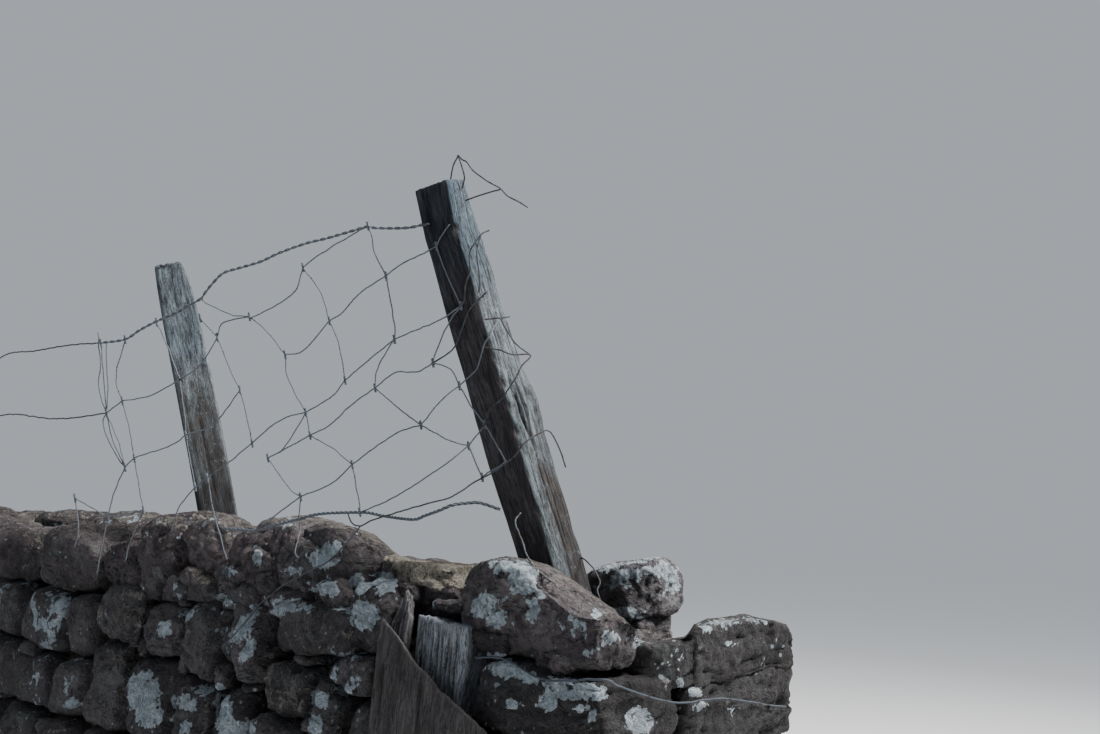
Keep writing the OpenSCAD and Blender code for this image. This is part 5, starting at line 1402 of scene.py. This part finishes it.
soup = Soup()
pts = [(-70, 106), (-97, 115), (-115, 115), (-137, 112), (-154, 105), (-176, 97), (-192, 92), (-232, 97), (-251, 101), (-266, 102), (-308, 101), (-333, 98), (-353, 92), (-389, 83), (-412, 77), (-458, 80)]
twisted(soup, spline([net(p) - 2 * AWAY for p in pts], 3.2), 1.15, 1.4, 26.0, 6, 3)
soup.build("netting_bottom_edge", WIRE, "galvanised_wire", ["bottom_selvedge"])


def routes(name, lists, radius, material, slot, node, kink=0.7, step=3.2):
    s = Soup()
    for i, pts in enumerate(lists):
        pts = [at(*p[:3]) if len(p) == 3 else np.array(p[1:], float) for p in pts]
        tube(s, spline(pts, step), radius, 7, kink=kink, seed=i + 40)
    s.build(name, material, slot, [node])


routes("plain_line_wires", [
    [(-629, 339, 2757), (-672, 336, 2830), (-720, 328, 2960), (-770, 318, 3230), ("xyz", -700, -62, 1492), ("xyz", -832, -74, 1500), ("xyz", -846, -70, 1502)],
    [(-621, 241, 2757), (-660, 235, 2810), (-700, 233, 2940), (-770, 237, 3230), ("xyz", -700, -60, 1392), ("xyz", -818, -68, 1400), ("xyz", -832, -64, 1402)],
], 1.35, RUST_WIRE, "rusty_wire", "line_wires", 1.0, 7.0)
routes("wire_loop_at_top", [
    [(-123, 556, 2124), (-120, 571, 2120), (-124, 588, 2112), (-129, 602, 2106), (-123, 596, 2100), (-116, 592, 2092), (-108, 581, 2086), (-88, 566, 2080), (-70, 556, 2078), (-59, 545, 2080), (-42, 536, 2084), (-31, 529, 2088)],
    [(-118, 539, 2120), (-109, 542, 2104), (-92, 548, 2088), (-70, 554, 2078)],
    [(-140, 556, 2121), (-139, 570, 2120), (-136, 586, 2112), (-129, 601, 2106)],
], 1.15, RUST_WIRE, "rusty_wire", "top_loop", 0.5)
routes("wire_ties_on_post", [
    [(-85, 497, 2094), (-94, 493, 2088), (-102, 484, 2086), (-111, 470, 2086), (-113, 458, 2088), (-112, 440, 2090), (-118, 423, 2096), (-120, 399, 2106), (-125, 391, 2110)],
    [(-97, 489, 2090), (-101, 475, 2086), (-102, 459, 2084), (-99, 435, 2084), (-98, 421, 2086), (-100, 410, 2090)],
    [(-92, 405, 2086), (-102, 399, 2092), (-116, 379, 2104), (-132, 336, 2118), (-148, 321, 2124), (-164, 311, 2134)],
], 1.15, RUST_WIRE, "rusty_wire", "post_ties", 0.5)
routes("wire_ties_at_knee", [
    [(-91, 372, 2090), (-70, 374, 2084), (-56, 376, 2088)],
    [(-70, 374, 2082), (-56, 350, 2082), (-46, 336, 2082), (-27, 322, 2086)],
    [(-91, 333, 2100), (-70, 329, 2086), (-53, 323, 2078), (-27, 322, 2084), (-39, 307, 2080), (-48, 290, 2078), (-59, 273, 2084), (-68, 260, 2092), (-84, 246, 2104), (-91, 225, 2114)],
], 1.15, RUST_WIRE, "rusty_wire", "knee_ties", 0.5)
routes("wire_loose_ends", [
    [(-6, 217, 2092), (-21, 209, 2084), (-36, 199, 2080), (-49, 181, 2082), (-64, 169, 2090), (-81, 157, 2100), (-106, 144, 2112), (-137, 124, 2108), (-179, 112, 2120), (-223, 99, 2180), (-251, 90, 2226), (-265, 83, 2240), (-275, 85, 2250), (-280, 92, 2262), (-283, 101, 2280)],
    [(-6, 217, 2094), (2, 213, 2098), (13, 192, 2100), (22, 165, 2100)],
    [(-265, 83, 2240), (-272, 74, 2234), (-280, 64, 2228), (-293, 50, 2220), (-305, 37, 2218), (-319, 28, 2226), (-335, 21, 2238), (-354, 10, 2262), (-375, -1, 2290),
     (-391, -14, 2312), (-404, -25, 2334), (-423, -48, 2344), (-445, -73, 2358), (-457, -85, 2370)],
], 1.15, RUST_WIRE, "rusty_wire", "loose_ends", 0.6)
routes("wire_on_stone", [
    [(-41, 101, 2082), (-48, 92, 2072), (-48, 84, 2062), (-43, 71, 2044), (-38, 59, 2020), (-34, 45, 1998), (-25, 29, 1976), (-18, 21, 1956), (-10, 14, 1938), (-2, 8, 1929), (6, 1, 1950)],
], 1.25, RUST_WIRE, "rusty_wire", "stone_strand", 0.7)
routes("wire_curl_at_foot", [
    [(43, 39, 2143), (47, 37, 2134), (57, 28, 2115), (63, 20, 2104), (70, 4, 2092), (66, -7, 2084), (70, -20, 2078)],
], 1.15, RUST_WIRE, "rusty_wire", "foot_curl", 0.4)
routes("wire_along_face", [
    [(-106, -101, 2010), (-98, -101, 1978), (-62, -104, 1945), (-7, -132, 1880), (74, -132, 1815), ("xyz", 1302, -150, 1165), ("xyz", 1309, -60, 1134), ("xyz", 1308, 40, 1124), ("xyz", 1307, 140, 1100), ("xyz", 1306, 178, 1092)],
], 1.35, STRAND_WIRE, "galvanised_wire", "face_strand", 1.0, 4.0)

soup = Soup()
for (a, b) in [((-170, 506, 2110), (-178, 503, 2114)), ((-88, 411, 2090), (-95, 404, 2094)), ((-122, 396, 2108), (-128, 386, 2112)), ((-86, 230, 2116), (-95, 220, 2120))]:
    a, b = at(*a), at(*b)
    lift = -4 * AWAY
    t = np.linspace(0, math.pi, 9)
    mid, arm = (a + b) / 2, (b - a) / 2
    arc = [a - lift] + [mid - arm * math.cos(x) + lift * (0.2 + 0.9 * math.sin(x)) for x in t] + [b - lift]
    tube(soup, spline(arc, 1.5), 1.5, 7)
soup.build("fence_staples", RUST_WIRE, "rusty_wire", ["staples"])

# ---------------------------------------------------------------- stage
scene = bpy.context.scene
floor = bpy.data.meshes.new("floor")
R = 60.0
floor.from_pydata([(-R, -R, 0), (R, -R, 0), (R, R, 0), (-R, R, 0)], [], [(0, 1, 2, 3)])
ROOM = (0.62, 0.665, 0.72)
ROOM_LIGHT = 0.66
fm = Mat("pale_floor")
away = fm.t.nodes.new("ShaderNodeVectorMath")
away.operation = "LENGTH"
fm.put(away.inputs[0], fm.place())
far = fm.step(away.outputs["Value"], 3.2, 13.0)
fm.set(Base_Color=fm.mix(far, (0.84, 0.85, 0.86), (0.0, 0.0, 0.0)), Roughness=0.95, Emission_Color=ROOM)
fm.b.inputs["Specular IOR Level"].default_value = 0.0
fm.put(fm.b.inputs["Emission Strength"], fm.math("MULTIPLY", far, ROOM_LIGHT))
floor.materials.append(fm.m)
floor_o = bpy.data.objects.new("stage_floor", floor)
scene.collection.objects.link(floor_o)

world = bpy.data.worlds.new("soft_room")
world.use_nodes = True
bg = world.node_tree.nodes["Background"]
bg.inputs[0].default_value = (*ROOM, 1)
bg.inputs[1].default_value = ROOM_LIGHT
scene.world = world


def area(name, place, target, size, power, colour):
    light = bpy.data.lights.new(name, "AREA")
    light.shape = "RECTANGLE"
    light.size, light.size_y = size
    light.energy = power
    light.color = colour
    o = bpy.data.objects.new(name, light)
    o.location = place
    o.rotation_euler = (Vector(target) - Vector(place)).to_track_quat("-Z", "Y").to_euler()
    scene.collection.objects.link(o)


area("key_right", (3.1, 1.3, 4.5), (0.8, -0.1, 1.2), (1.7, 1.5), 620.0, (1.0, 0.985, 0.96))
area("fill_left", (-2.6, -5.2, 3.6), (0.6, 0.0, 1.0), (4.0, 3.0), 45.0, (0.78, 0.88, 1.0))
area("rim_back", (0.4, 4.2, 3.4), (0.6, 0.0, 1.2), (3.0, 1.8), 200.0, (1.0, 0.93, 0.84))

cam = bpy.data.cameras.new("camera")
cam.lens = 50.0
cam.sensor_width = 36.0
cam.clip_start = 0.05
cam_o = bpy.data.objects.new("camera", cam)
cam_o.location = EYE * MM
pitch = math.radians(0.41)
look = Vector((-0.70711 * math.cos(pitch), 0.70711 * math.cos(pitch), math.sin(pitch)))
cam_o.rotation_euler = look.to_track_quat("-Z", "Y").to_euler()
scene.collection.objects.link(cam_o)
scene.camera = cam_o

print("TRIANGLES", sum(PIECES.values()), sorted(PIECES.items(), key=lambda kv: -kv[1])[:12])
bpy.context.view_layer.update()
